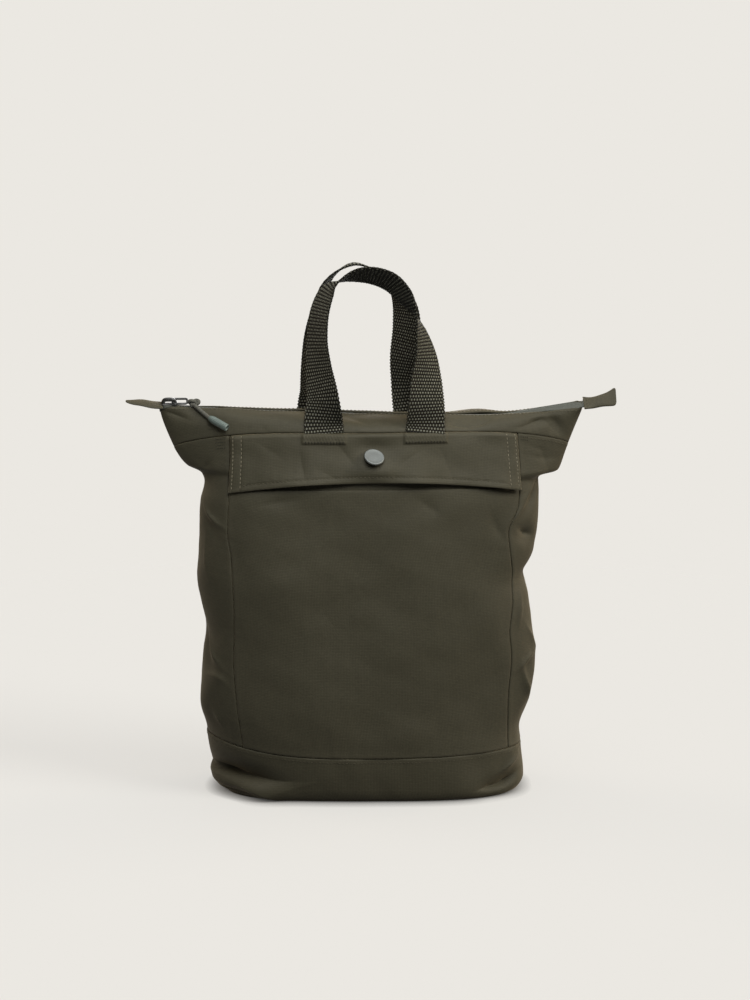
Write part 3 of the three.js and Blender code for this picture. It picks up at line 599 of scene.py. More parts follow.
def thicken(piece, thickness):
    """Gives an open sheet its wall, inwards from its face."""
    wall_of = piece.modifiers.new("cloth", "SOLIDIFY")
    wall_of.thickness = thickness * MM
    wall_of.offset = -1


def run(points, axis):
    """Length along each grid line from its start."""
    step = np.linalg.norm(np.diff(points, axis=axis), axis=-1)
    start = np.zeros_like(np.take(step, [0], axis))
    return np.concatenate([start, np.cumsum(step, axis)], axis)


def crowded(length, fine, coarse, edge):
    """Shares 0 to 1 along a length: fine steps within an edge's width of each end, coarse between."""
    ends = np.linspace(0, edge, round(edge / fine) + 1)
    middle = np.linspace(edge, length - edge, round((length - 2 * edge) / coarse) + 1)
    return np.concatenate([ends, middle[1:-1], length - ends[::-1]]) / length


def slack(points, seed, shortest, longest, height):
    """Unevenness of slack cloth: a sum of cosine waves in space, each with a seeded direction, length and
    start, the longer ones higher."""
    dice = np.random.default_rng(seed)
    lengths = np.geomspace(shortest, longest, 14)
    ways = unit(dice.normal(size=(14, 3))) * 2 * np.pi / lengths[:, None]
    waves = np.cos(points @ ways.T + dice.uniform(0, 2 * np.pi, 14))
    return height * waves @ (lengths / longest) / np.sqrt(np.sum((lengths / longest) ** 2) / 2) / 1.5


# Depth of a seam's groove, and the width along an edge in which slack cloth settles to the seam's level
SEAM_DEPTH = 1.1
LEVEL_EDGE = 12


def seam_turn(distance, depth=SEAM_DEPTH):
    """Cloth turning into a seam: a narrow groove, depth times exp(-(d/0.5)^2), behind a low ridge over
    the seam allowance, 0.15 exp(-((d-3)/2.2)^2)."""
    return -depth * bell(distance, 0.5) + seam_ridge(distance)


def seam_ridge(distance):
    """The low ridge over a seam allowance, a bell 3 mm from the seam."""
    return 0.15 * bell(distance - 3, 2.2)


def inner(near):
    """0 at a panel's edges and 1 further in, so that neighbours meet level along their seams."""
    return 1 - bell(np.minimum.reduce(list(near.values())), LEVEL_EDGE)


def puckers(distance, along, seed, height=0.5, reach=9.0):
    """Short gathers along a seam: a sum of cosines along it that fades away from it over a reach."""
    dice = np.random.default_rng(seed)
    lengths = np.array([8.0, 11.0, 17.0, 26.0, 41.0])
    waves = np.cos(along[..., None] * 2 * np.pi / lengths + dice.uniform(0, 2 * np.pi, 5)).sum(-1) / 5
    gate = 0.5 + 0.5 * np.cos(along * 2 * np.pi / 97 + dice.uniform(0, 6))
    return height * waves * gate * np.exp(-distance / reach) * (1 - bell(distance, 2))


def area_of(points):
    """Area of a grid of points: half the cross product of each cell's diagonals, summed."""
    first = points[1:, 1:] - points[:-1, :-1]
    second = points[1:, :-1] - points[:-1, 1:]
    return np.linalg.norm(np.cross(first, second), axis=-1).sum() / 2


def cloth_panel(name, surface, qs, vs, relief, thickness=CLOTH, hem_wear_and_highlight=0.0):
    """A panel of cloth: the folded surface on a grid, raised along its smooth normal by a relief worked
    out from each point's place and its distances to the four edges."""
    q, v = np.meshgrid(qs, vs)
    smooth, _, _, normal = facing(surface, q, v)
    across, up = run(smooth, 1), run(smooth, 0)
    near = {"left": across, "right": across[:, -1:] - across, "low": up, "high": up[-1:] - up}
    raised = relief(q, v, smooth, near)
    points = smooth + normal * (fold_depth(smooth) + raised)[..., None]
    uv = np.stack([across - across[:, len(qs) // 2, None], up], -1)
    # Paler on the ridges over the seams, where they wear, and along the hem's edge: wear on its folded edge
    # plus a painted highlight where the rounded hem catches light
    wear_and_light = sum(seam_ridge(near[edge]) for edge in near) + hem_wear_and_highlight * bell(near["low"], 0.8)
    faces = grid_faces(*q.shape).tolist()
    piece = make_piece(name, points, faces, CLOTH_LOOK, [name], uv, {"wear_and_light": wear_and_light})
    thicken(piece, thickness)
    area = area_of(smooth) * MM * MM
    return SimpleNamespace(piece=piece, points=points, normal=normal, near=near, area=area)


def inset_row(panel, edge, distance):
    """A line on a panel at one distance from an edge, read between the grid points on each side of it."""
    away = panel.near[edge]
    points, normal = panel.points, panel.normal
    if edge in ("low", "high"):
        away, points, normal = away.T, points.swapaxes(0, 1), normal.swapaxes(0, 1)
    if edge in ("right", "high"):
        away, points, normal = away[:, ::-1], points[:, ::-1], normal[:, ::-1]
    i = np.clip((away < distance).sum(1), 1, away.shape[1] - 1)
    line = np.arange(len(away))
    share = (distance - away[line, i - 1]) / (away[line, i] - away[line, i - 1])
    mix = share[:, None]
    return [(1 - mix) * grid[line, i - 1] + mix * grid[line, i] for grid in (points, normal)]


def read_at(at, length, grid):
    """A line's points or normals at given lengths along it."""
    return np.stack([np.interp(at, length, grid[:, c]) for c in range(3)], -1)


def part_of(row, start, end):
    """The stretch of a line between two lengths from its start. An end below 0 counts from its end."""
    points, normal = row
    length = run(points, 0)
    end = length[-1] + end if end <= 0 else end
    at = np.linspace(start, end, max(2, int((end - start) / 2)))
    return [read_at(at, length, grid) for grid in (points, normal)]


def circles(line, side, up, radius, count):
    """Circles round each point of a line: the radius times cos along one way plus sin along another."""
    a = round_angles(count)
    spoke = np.cos(a)[:, None] * side[..., None, :] + np.sin(a)[:, None] * up[..., None, :]
    return line[..., None, :] + np.asarray(radius)[..., None] * spoke


def sew(name, rows, look, stitch=2.7, gap=1.1, radius=0.32):
    """Rows of stitches: each a six-sided bar along its stretch of a row, thick in the middle and dipping
    into the cloth at both ends."""
    shape = np.linspace(0, 1, 5)
    bulge = np.sqrt(np.sin(np.pi * np.clip(shape, 0.04, 0.96)))[:, None]
    all_points = []
    for points, normal in rows:
        length = run(points, 0)
        count = max(1, int(length[-1] / (stitch + gap)))
        at = (np.arange(count)[:, None] + 0.5) * length[-1] / count + (shape - 0.5) * stitch
        line = read_at(at, length, points)
        out = unit(read_at(at, length, normal))
        side = unit(np.cross(out, np.gradient(line, axis=1)))
        line = line + out * radius * (1.1 * bulge - 0.6)
        all_points.append(circles(line, side, out, radius * bulge, 6).reshape(-1, 30, 3))
    points = np.concatenate(all_points)
    bar = grid_faces(5, 6, loop_columns=True)
    first = np.arange(len(points))[:, None, None] * 30
    caps = np.stack([np.arange(6)[::-1], np.arange(24, 30)])
    faces = (bar + first).reshape(-1, 4).tolist() + (caps + first).reshape(-1, 6).tolist()
    return make_piece(name, points, faces, look)


def tube(name, sections, look, nodes=(), uv=None, marks=None, closed=False):
    """A closed profile carried along a path: sections is a grid of points, one loop for each station. Its
    ends are capped, unless the path is a loop itself."""
    stations, count = sections.shape[:2]
    faces = grid_faces(stations, count, loop_rows=closed, loop_columns=True).tolist()
    if not closed:
        faces += [list(range(count))[::-1], list(range((stations - 1) * count, stations * count))]
    return make_piece(name, sections, faces, look, nodes, uv, marks)


def spline(points, t):
    """Centripetal Catmull-Rom line through points: on each span a cubic whose end slopes come from the
    neighbouring spans, weighted by the root of their lengths."""
    points = np.asarray(points, float)
    p = np.vstack([2 * points[0] - points[1], points, 2 * points[-1] - points[-2]])
    gaps = np.sqrt(np.linalg.norm(np.diff(p, axis=0), axis=1))
    at = np.clip(t, 0, 1) * (len(points) - 1)
    i = np.minimum(at.astype(int), len(points) - 2)
    w = (at - i)[:, None]
    a, b, c, d = p[i], p[i + 1], p[i + 2], p[i + 3]
    d1 = gaps[i + 1][:, None]
    d1 = np.where(d1 < 1e-2, 1, d1)
    d0, d2 = (np.where(g < 1e-2, d1, g) for g in (gaps[i][:, None], gaps[i + 2][:, None]))
    start = ((b - a) / d0 - (c - a) / (d0 + d1) + (c - b) / d1) * d1
    end = ((c - b) / d1 - (d - b) / (d1 + d2) + (d - c) / d2) * d1
    return b + start * w + (3 * (c - b) - 2 * start - end) * w**2 + (2 * (b - c) + start + end) * w**3


def even_shares(points, count):
    """Parameters of a spline at even lengths along it."""
    t = np.linspace(0, 1, 3000)
    length = run(spline(points, t), 0)
    return np.interp(np.linspace(0, length[-1], count), length, t), length[-1]


def tangents(points, closed=False):
    """Unit direction of a line at each of its points, by central differences."""
    return unit(np.roll(points, -1, 0) - np.roll(points, 1, 0) if closed else np.gradient(points, axis=0))


# Zip pull: slider, wire puller, knot, cord and its moulded end
SLIDER = SimpleNamespace(x=-206, length=15, body=3.6, eye=3.0, width=8, wall=1.6, sunk=2.4, bar=(2.4, 1.9))
PULLER = SimpleNamespace(start=9.8, rise=1.8, length=16.5, width=9, bar=2.2, tilt=0.62)
KNOT = SimpleNamespace(y=-2, radius=5, rise=3, shift=(3.2, 0, -0.4), scale=(1.7, 1.2, 1.25), core=1.6)
CORD_RADIUS = 1.9
CORD_CORE = 1.75
BRAID_HEIGHT = 0.25
CORD_ROUTE = np.array([[3.85, 0.93, 3], [3.868, 0.8, 2.6], [3.885, 0.63, 2.5], [3.9, 0.48, 2.6]])
END_ROUTE = np.array([[3.907, 0.44, 5.2], [4, 0.16, 6.4]])
# The moulded end, and the depths at which it holds the cord
PULL_END = SimpleNamespace(radius=3.7, neck=2.5, holds=(2, 14))

slider_floor = column(ZIP_LINE, 1, SLIDER.x + SLIDER.length / 2) + LAYER_GAP
knot_x = SLIDER.x + PULLER.start - 3 + PULLER.length + 0.3 + KNOT.radius
knot_place = np.array([knot_x, KNOT.y, column(ZIP_LINE, 1, knot_x) + KNOT.rise])
cord_places = folded(yoke, CORD_ROUTE[:, 0], CORD_ROUTE[:, 1], CORD_ROUTE[:, 2])
end_start, end_tip = folded(yoke, END_ROUTE[:, 0], END_ROUTE[:, 1], END_ROUTE[:, 2])
cord_start = knot_place + unit(cord_places[0] - knot_place) * (KNOT.radius - 0.4)


def squared(values, power):
    """Sines or cosines raised to a power with their signs kept, which makes a circle a superellipse."""
    return np.sign(values) * np.abs(values) ** power


def braid(length, count, strands=5, pitch=7.0):
    """Height of a braid over a tube: two sets of strands that wind opposite ways, cos times cos, 0 to 1."""
    a = round_angles(count)
    wind = 2 * np.pi * length[:, None] / pitch
    return 0.5 + 0.5 * np.cos(strands * a + wind) * np.cos(strands * a - wind)


def braided(name, line, level, radius, wrap, count, closed=False):
    """A braided cord: circles along a line, in frames that lie square to one axis, their radius raised by
    the braid. Its pattern is wrapped round a radius of its own."""
    along = tangents(line, closed)
    side = unit(np.cross(along, level))
    length = run(line, 0)
    crown = braid(length, count)
    sections = circles(line, side, np.cross(side, along), radius + BRAID_HEIGHT * crown, count)
    around = round_angles(count) * wrap
    uv = joined(around[None, :], length[:, None])
    return tube(name, sections, CORD_LOOK, [name], uv, {"weave": crown}, closed)


end_way = unit(end_tip - end_start)
held_places = end_start + np.outer(PULL_END.holds, end_way)
cord_line_places = np.vstack([cord_start, cord_places, held_places])
cord_t, cord_length = even_shares(cord_line_places, 70)
cord_line = spline(cord_line_places, cord_t)
pull_cord = braided("pull_cord", cord_line, [0.0, 0.0, 1.0], CORD_CORE, CORD_RADIUS, 20)


def knot_line():
    """An overhand knot as a trefoil, scaled: (sin t + 2 sin 2t, -sin 3t, cos t - 2 cos 2t)."""
    t = np.linspace(0, 2 * np.pi, 121)[:-1]
    flat = np.stack([np.sin(t) + 2 * np.sin(2 * t), -np.sin(3 * t) * 1.1, np.cos(t) - 2 * np.cos(2 * t)], -1)
    return knot_place + KNOT.shift + flat * KNOT.scale


pull_knot = braided("pull_knot", knot_line(), [0.0, 1.0, 0.0], KNOT.core, 1.5, 14, closed=True)


def turned(name, profile, foot, axis, count, look, slot, flutes=0, flute=0.0, fluted=(0, 0)):
    """A turned piece: a profile of radius and height carried round an axis. Flutes are a cosine of the
    angle that cuts into the radius on part of the profile."""
    side = unit(np.cross(axis, [0.0, 0.0, 1.0] if abs(axis[2]) < 0.9 else [1.0, 0.0, 0.0]))
    up = np.cross(axis, side)
    a = round_angles(count)
    radius, height = profile[:, 0][:, None], profile[:, 1][:, None]
    grooved = (np.arange(len(profile)) >= fluted[0]) & (np.arange(len(profile)) < fluted[1])
    radius = radius - grooved[:, None] * flute * (0.5 - 0.5 * np.cos(flutes * a))
    return tube(name, circles(foot + height * axis, side, up, radius, count), look, [name])


end_length = np.linalg.norm(end_tip - end_start)
END_PROFILE = np.array([
    [1.95, 0.0],
    [PULL_END.neck - 0.2, 0.0],
    [PULL_END.neck, 0.3],
    [2.9, 1.6],
    [3.4, 3.0],
    [PULL_END.radius, 4.4],
    [PULL_END.radius, 5.2],
    [PULL_END.radius, end_length - 2.6],
    [PULL_END.radius, end_length - 1.6],
    [3.5, end_length - 0.5],
    [3.2, end_length],
    [2.8, end_length],
    [2.5, end_length - 0.5],
    [2.4, end_length - 5.5],
])
flutes = {"flutes": 16, "flute": 0.35, "fluted": (5, 8)}
pull_end = turned("pull_end", END_PROFILE, end_start, end_way, 64, RUBBER_LOOK, "rubber_end", **flutes)


def wire_frame():
    """The puller, a bent wire: a circle carried round a rectangle with rounded corners."""
    half, radius = PULLER.width / 2 - PULLER.bar / 2, 2.2
    reach = PULLER.length - PULLER.bar
    centres = np.array([[reach - radius, half - radius], [radius, half - radius], [radius, radius - half],
                        [reach - radius, radius - half]])
    a = np.linspace(0, np.pi / 2, 8) + np.arange(4)[:, None] * np.pi / 2
    flat = (centres[:, None] + radius * np.stack([np.cos(a), np.sin(a)], -1)).reshape(-1, 2)
    tilt = np.array([[1, 0, 0], [0, np.cos(PULLER.tilt), np.sin(PULLER.tilt)]])
    rise = slider_floor + PULLER.rise + PULLER.bar / 2
    line = flat @ tilt + [SLIDER.x + PULLER.start + PULLER.bar / 2, 0, rise]
    along = tangents(line, closed=True)
    up = np.array([0, -np.sin(PULLER.tilt), np.cos(PULLER.tilt)])
    side = np.cross(along, up)
    sections = circles(line, side, up, PULLER.bar / 2, 12)[:, ::-1]
    return tube("zip_puller", sections, LACQUER_LOOK, ["zip_puller"], closed=True)


wire_frame()


def slider_body():
    """The slider's body: a superellipse carried along the zip, waisted, with its ends drawn in."""
    t = np.linspace(0, 1, 25)
    a = round_angles(32)
    ends = np.clip(np.minimum(t, 1 - t) / 0.1, 0, 1)
    round_off = np.sqrt(1 - (1 - ends) ** 2) * 0.35 + 0.65
    width = SLIDER.width / 2 * (1 - 0.14 * np.sin(np.pi * t) ** 2) * round_off
    height = SLIDER.body / 2 * round_off
    x = SLIDER.x + t[:, None] * SLIDER.length
    y = width[:, None] * squared(np.cos(a), 2 / 5)
    z = slider_floor + SLIDER.body / 2 - SLIDER.sunk + height[:, None] * squared(np.sin(a), 2 / 5)
    return tube("slider_body", joined(x, y, z), LACQUER_LOOK)


def slider_bridge():
    """The bridge that holds the pull: a rounded bar carried over an arch with square shoulders."""
    a = np.linspace(0, np.pi, 40)
    half = SLIDER.length / 2 - SLIDER.wall
    x = -squared(np.cos(a), 2 / 3.2) * half
    z = squared(np.sin(a), 2 / 3.2) * (SLIDER.eye + SLIDER.sunk - SLIDER.wall)
    middle = np.array([SLIDER.x + SLIDER.length / 2, 0, slider_floor + SLIDER.body - SLIDER.sunk - 0.3])
    line = middle + np.stack([x, 0 * x, z], -1)
    along = tangents(line)
    side = np.array([0.0, 1.0, 0.0])
    up = np.cross(along, side)
    b = round_angles(20)
    wide, high = SLIDER.bar[0] * squared(np.cos(b), 2 / 3.5), SLIDER.bar[1] * squared(np.sin(b), 2 / 3.5)
    sections = line[:, None] + wide[:, None] * side + high[:, None] * up[:, None]
    return tube("zip_slider", sections, LACQUER_LOOK, ["zip_slider"])


slider_body()
slider_bridge()

# Cloth panels
SMALL_WRINKLES = 0.13
FRONT_SET_BACK = 1.9


def sewn_edges(near, seed, **depths):
    """A turned seam with puckers along each of a panel's edges, its groove to the edge's own depth."""
    total = 0
    for k, (edge, depth) in enumerate(depths.items()):
        along = near["left"] if edge in ("low", "high") else near["low"]
        total = total + seam_turn(near[edge], depth) + puckers(near[edge], along, seed + k)
    return total


def wall_relief(seed):
    """Relief of a sewn-in wall: slack, and a turned seam with puckers along all four edges."""

    def relief(q, v, smooth, near):
        """Long and short waves that fade out at the edges, plus the seams."""
        loose = slack(smooth, seed, 28, 120, 0.7) + slack(smooth, seed + 7, 8, 26, SMALL_WRINKLES)
        seams = sewn_edges(near, seed, left=SEAM_DEPTH, right=SEAM_DEPTH, low=SEAM_DEPTH, high=0.4)
        return loose * inner(near) + seams

    return relief


def pocket_relief(q, v, smooth, near):
    """Relief of the pocket: as a wall, but its mouth under the flap is a hem."""
    loose = slack(smooth, 21, 30, 150, 1.3) + slack(smooth, 28, 9, 30, SMALL_WRINKLES)
    seams = sewn_edges(near, 30, left=SEAM_DEPTH, right=SEAM_DEPTH, low=SEAM_DEPTH)
    return loose * inner(near) + seams - 0.5 * np.exp(-near["high"] / 0.8)


def front_relief(q, v, smooth, near):
    """The front wall lies flat behind the pocket."""
    return np.full(q.shape, -FRONT_SET_BACK)


pocket_steps, pocket_rise = crowded(285, 0.45, 2.4, 4), crowded(275, 0.45, 2.4, 4)
side_steps, side_rise = crowded(125, 0.45, 1.6, 4), crowded(320, 0.6, 1.7, 5)
even_steps = np.linspace(0, 1, 60)
pocket = cloth_panel("pocket_panel", wall, pocket_steps, POCKET_TOP * pocket_rise, pocket_relief)
front = cloth_panel("front_wall", wall, even_steps, even_steps, front_relief)
right = cloth_panel("side_panel_right", wall, 1 + side_steps, side_rise, wall_relief(41))
left = cloth_panel("side_panel_left", wall, 3 + side_steps, side_rise, wall_relief(51))
back_steps, back_rise = crowded(285, 0.7, 3.2, 5), crowded(320, 0.7, 3.0, 5)
back = cloth_panel("back_panel", wall, 2 + back_steps, back_rise, wall_relief(61))


def yoke_relief(seed):
    """Relief of a yoke: slack that settles at both wing tips, a seam below and a folded edge at the zip."""

    def relief(q, v, smooth, near):
        """Waves, seam and puckers that fade out at the tips, less the fold at the zip."""
        tips = np.minimum(near["left"], near["right"])
        fade = 1 - bell(tips, LEVEL_EDGE)
        total = slack(smooth, seed, 22, 90, 0.5) + seam_turn(near["low"], 0.9)
        total = total + puckers(near["low"], near["left"], seed, 0.6, 7)
        total = total + puckers(near["high"], near["left"], seed + 1, 0.4, 6)
        total = total + 0.3 * bell(near["high"] - 3, 2)
        return total * fade - 0.6 * np.exp(-near["high"] / 0.8)

    return relief


yoke_steps, yoke_rise = crowded(410, 0.7, 1.8, 4), crowded(42, 0.6, 1.4, 3)
yoke_front = cloth_panel("yoke_front", yoke, -0.5 + 2 * yoke_steps, yoke_rise, yoke_relief(71))
yoke_back = cloth_panel("yoke_back", yoke, 1.5 + 2 * yoke_steps, yoke_rise, yoke_relief(81))

HANDLE_FEET = {"front": (-48, 50), "back": (-54, 42)}
# Sewn rows of the flap: distances from its sides and hem, where the hem's row starts, and how deep they lie
FLAP_ROWS = SimpleNamespace(sides=(3, 11.5), hem=6, start=15, hollow=0.35)
# The handles' ends sewn in under the flap's top: length, height, and how far their weave stands out
HANDLE_ENDS = SimpleNamespace(length=10.5, raised=1.7, printed=0.3)


def flap_relief(q, v, smooth, near):
    """Relief of the flap: its stand-off, which ends in the seam at the top, the ends of both handles sewn
    in under its top as raised rectangles through which the weave shows, a hollow along each row of
    stitches, and a rounded hem."""
    x = smooth[..., 0]
    total = flap_lift(q, v) + FLAP_CLOTH + slack(smooth, 91, 14, 70, 0.55)
    for foot in HANDLE_FEET["front"]:
        inside = np.minimum(WEB_WIDTH / 2 + 2 - np.abs(x - foot), HANDLE_ENDS.length - near["high"])
        raised = HANDLE_ENDS.raised + HANDLE_ENDS.printed * weave_height(x, near["high"])
        total = total + raised * soft_step(inside, 0.35)
    sides = np.minimum(near["left"], near["right"])
    sewn = soft_step(sides - FLAP_ROWS.start, 1.5)
    from_hem = near["low"] - FLAP_ROWS.hem
    for away, share in [(sides - inset, 1) for inset in FLAP_ROWS.sides] + [(from_hem, sewn)]:
        total = total - FLAP_ROWS.hollow * share * bell(away, 1.2)
    total = total + puckers(np.abs(from_hem), near["left"], 95, 0.6, 5) * sewn
    total = total - 1.7 * bell(near["high"], 2) - 1.2 * bell(sides, 1.6) * v
    return total + seam_turn(near["high"]) - 0.7 * bell(np.minimum(sides, near["low"]), 0.9)


flap_steps = 0.003 + 0.994 * crowded(282, 0.6, 0.8, 6)
# The last value pales the flap's hem edge: wear and a painted highlight
flap = cloth_panel("flap", flap_ground, flap_steps, crowded(50, 0.65, 1.5, 13), flap_relief, FLAP_CLOTH, 1.2)


def base_tray():
    """The base: a floor of shrinking outlines, then the outline at rising heights up to the base seam,
    folded and slack, with a turned seam along its top. It never goes below the floor."""
    panels = ((0, 265), (1, 150), (2, 265), (3, 150))
    q = np.concatenate([panel + crowded(length, 1.5, 2.1, 6)[:-1] for panel, length in panels])
    t = crowded(62, 0.7, 1.1, 4)[:, None]
    seam = base_seam(q)
    height = np.broadcast_to(t * seam, (len(t), len(q)))
    smooth, _, _, normal = facing(ring, np.broadcast_to(q, height.shape), np.maximum(height, 0.01))
    up = run(smooth, 0)
    high = up[-1:] - up
    around = run(smooth, 1)
    low_fade = 1 - bell(up, 8)
    raised = slack(smooth, 101, 22, 90, 0.7) * low_fade
    raised = raised + seam_turn(high) + puckers(high, around, 105, 0.6, 7)
    band = smooth + normal * (fold_depth(smooth) + raised)[..., None]
    band[..., 2] = np.maximum(band[..., 2], 0)
    band[0, :, 2] = 0
    rim = ring(q, 0) * [1, 1, 0]
    shares = np.array([0.1, 0.3, 0.5, 0.7, 0.85, 0.95])[:, None, None]
    points = np.concatenate([rim * shares, band])
    floor_up = -np.linalg.norm(rim, axis=-1) * (1 - shares[..., 0])
    rise = np.concatenate([floor_up, up])
    uv = np.stack([np.concatenate([np.broadcast_to(around[:1], floor_up.shape), around]), rise], -1)
    wear_and_light = np.concatenate([0 * floor_up, seam_ridge(high)])
    faces = grid_faces(*points.shape[:2], loop_columns=True).tolist() + [list(range(len(q)))[::-1]]
    piece = make_piece("base_tray", points, faces, CLOTH_LOOK, ["base_tray"], uv, {"wear_and_light": wear_and_light})
    thicken(piece, CLOTH)
    area = area_of(np.concatenate([points, points[:, :1]], 1)) * MM * MM
    near = {"high": high, "left": around}
    return SimpleNamespace(piece=piece, points=band, normal=normal, near=near, area=area)


base = base_tray()


# Zip tape and the tabs at its ends
def zip_tape():
    """The closed zip: straight across from one yoke edge to the other, with two film lips that meet in a
    groove along the middle, and its edges tucked under the yokes. It goes on past the right wing into its
    tab."""
    q = np.linspace(-0.49, 1.49, 200)
    share = np.linspace(-1, 1, 25)[:, None]
    front_edge, back_edge = zip_edge(q), zip_edge(3 - q)
    middle, half = (front_edge + back_edge) / 2, (back_edge - front_edge) / 2
    half = half * np.maximum(1, TAPE_END.half / np.maximum(half[:, 1:2], 0.05))
    tongue = np.linspace(0, TAPE_END.tongue, 6)[1:, None] * [1, 0, TAPE_END.slope]
    middle = np.vstack([middle, middle[-1] + tongue])
    half = np.vstack([half, np.repeat(half[-1:], 5, 0)])
    points = middle + half * share[..., None] * 1.08
    lips = ZIP.lip * bell(np.abs(share) - 0.22, 0.16) - ZIP.groove * bell(share, 0.06)
    tuck = -ZIP.tuck * np.clip((np.abs(share) - 0.86) / 0.14, 0, 1)
    sunk = 1.6 - 1.5 * soft_step(middle[:, 0] - 140, 10)
    points[..., 2] += lips + tuck - sunk
    faces = grid_faces(*points.shape[:2]).tolist()
    thicken(make_piece("zip_tape", points, faces, ZIP_LOOK, ["zip_tape"]), ZIP.thick)


zip_tape()


def tape_patch():
    """The tape's end turned down over the left wing's front: a wedge on the yoke, deepest at the tip."""
    q = np.linspace(*TAPE_END.patch, 40)
    depth = TAPE_END.turned * (1 - np.linspace(0, 1, 40)) ** 0.8
    w = 1 - depth * np.linspace(1, 0, 16)[:, None]
    points = folded(yoke, np.broadcast_to(q, w.shape), w, 0.7)
    thicken(make_piece("zip_tape_end", points, grid_faces(16, 40).tolist(), ZIP_LOOK), 0.6)


tape_patch()

# Both tabs' sizes, then each tab's own: which way it points, the place of its root on the zip's edge, twist in
# radians and rise at its root and end and the power of the length that they follow, how far it reaches back
# past its root, how much it tapers and flares towards its end, and how much paler its whole face is: painted
# light on the right tab, which faces the light
TAB = SimpleNamespace(length=32, width=17, thick=2.4, lap=0.4, corner=3)
TABS = {
    "zip_tab_left": SimpleNamespace(
        side=-1, q=3.5, twist=(-0.2, -0.3), rise=(-1, 3.5), bend=1, back=4, taper=0.75, flare=0, paleness_painted_light=-0.2
    ),
    "zip_tab_right": SimpleNamespace(
        side=1, q=1.5, twist=(0.55, 1.05), rise=(0, 7), bend=2, back=0, taper=0, flare=1, paleness_painted_light=0.45
    ),
}


def zip_tab(name, tab):
    """A tab of folded cloth: a flat oval section with a slit along its open edge, carried along a rising
    line while it twists. Its end corners are rounded, and it is cupped along its middle. Gives the sewn
    row near its root."""
    length = TAB.length + tab.back
    t = crowded(length, 0.5, 1.0, 3)
    share = (t * length - tab.back) / TAB.length
    a = round_angles(72)
    across, through = squared(np.cos(a), 2 / 9), squared(np.sin(a), 0.5)
    to_end = (1 - t) * length
    rounding = 1 - np.sqrt(1 - np.clip(1 - to_end / TAB.corner, 0, 1) ** 2)
    flared = 1 + tab.flare * ((t - 0.45) ** 2 - 0.12)
    half_width = TAB.width / 2 * ((1 - 0.3 * rounding) * (1 - tab.taper * t**3) * flared)[:, None]
    swell = TAB.thick / 2 * ((1 + 0.25 * bell(to_end, 5)) * (1 - tab.taper * t**2))[:, None]
    slit = 1 - 0.75 * bell(across - 1, 0.06)
    cup = (1 + 2 * tab.flare) * (1 - across**2) * np.sin(np.pi * t)[:, None] ** 2
    y0 = across * half_width
    z0 = through * swell * slit + 0.35 * np.cos(t * 11)[:, None] * across**2 + cup
    turn, climb = ((at_root + (at_end - at_root) * share**tab.bend)[:, None]
                   for at_root, at_end in (tab.twist, tab.rise))
    x = np.broadcast_to(tab.side * TAB.length * share[:, None], y0.shape)
    y = tab.side * (y0 * np.cos(turn) - z0 * np.sin(turn))
    z = y0 * np.sin(turn) + z0 * np.cos(turn) + climb
    points = zip_edge(np.array(tab.q)) + [tab.side * TAB.lap, 0, 0] + np.stack([x, y, z], -1)
    uv = joined(y0, (t * length)[:, None])
    # Paler at the folded edges, where they wear, and over the whole face by the tab's own level: painted light
    # on the right tab
    wear_and_light = np.broadcast_to(tab.paleness_painted_light + 0.5 * np.abs(across) ** 4, y0.shape)
    tube(name, points, CLOTH_LOOK, [name], uv, {"wear_and_light": wear_and_light})
    row = np.argmin(np.abs(t * length - 3))
    face = points[row, 3:34]
    out = np.array([0, -tab.side * np.sin(turn[row, 0]), np.cos(turn[row, 0])])
    return [face, np.broadcast_to(out, face.shape)]


tab_rows = [zip_tab(name, tab) for name, tab in TABS.items()]

# Press stud
SNAP = SimpleNamespace(x=-0.8, z=345, post=2.2, lean=(0.22, 0.42))
SNAP_PROFILE = np.array([
    [0.4, -4.5],
    [4.2, -4.5],
    [4.6, -0.2],
    [9.0, 0.0],
    [9.5, 0.2],
    [9.75, 0.6],
    [9.85, 1.6],
    [9.75, 2.1],
    [9.45, 2.4],
    [9.0, 2.5],
    [8.5, 2.42],
    [7.9, 2.3],
    [5.0, 2.3],
    [2.5, 2.36],
    [0.4, 2.4],
])


def snap_cap():
    """The press stud's cap: a disc with a raised rim, turned about an axis that leans off the normal."""
    q = across_at(SNAP.x, SNAP.z)
    v = (SNAP.z - hem(q)) / (yoke_seam(q) - hem(q))

    def face(q, v):
        """The flap's outer face: its ground moved out by its stand-off and its cloth."""
        return folded(flap_ground, q, v, flap_lift(q, v) + FLAP_CLOTH)

    place, along, up, out = facing(face, np.array(q), np.array(v))
    out = unit(out + SNAP.lean[0] * along + SNAP.lean[1] * up)
    foot = place + out * SNAP.post
    return turned("snap_cap", SNAP_PROFILE, foot, out, 72, STEEL_LOOK, "steel")


snap_cap()

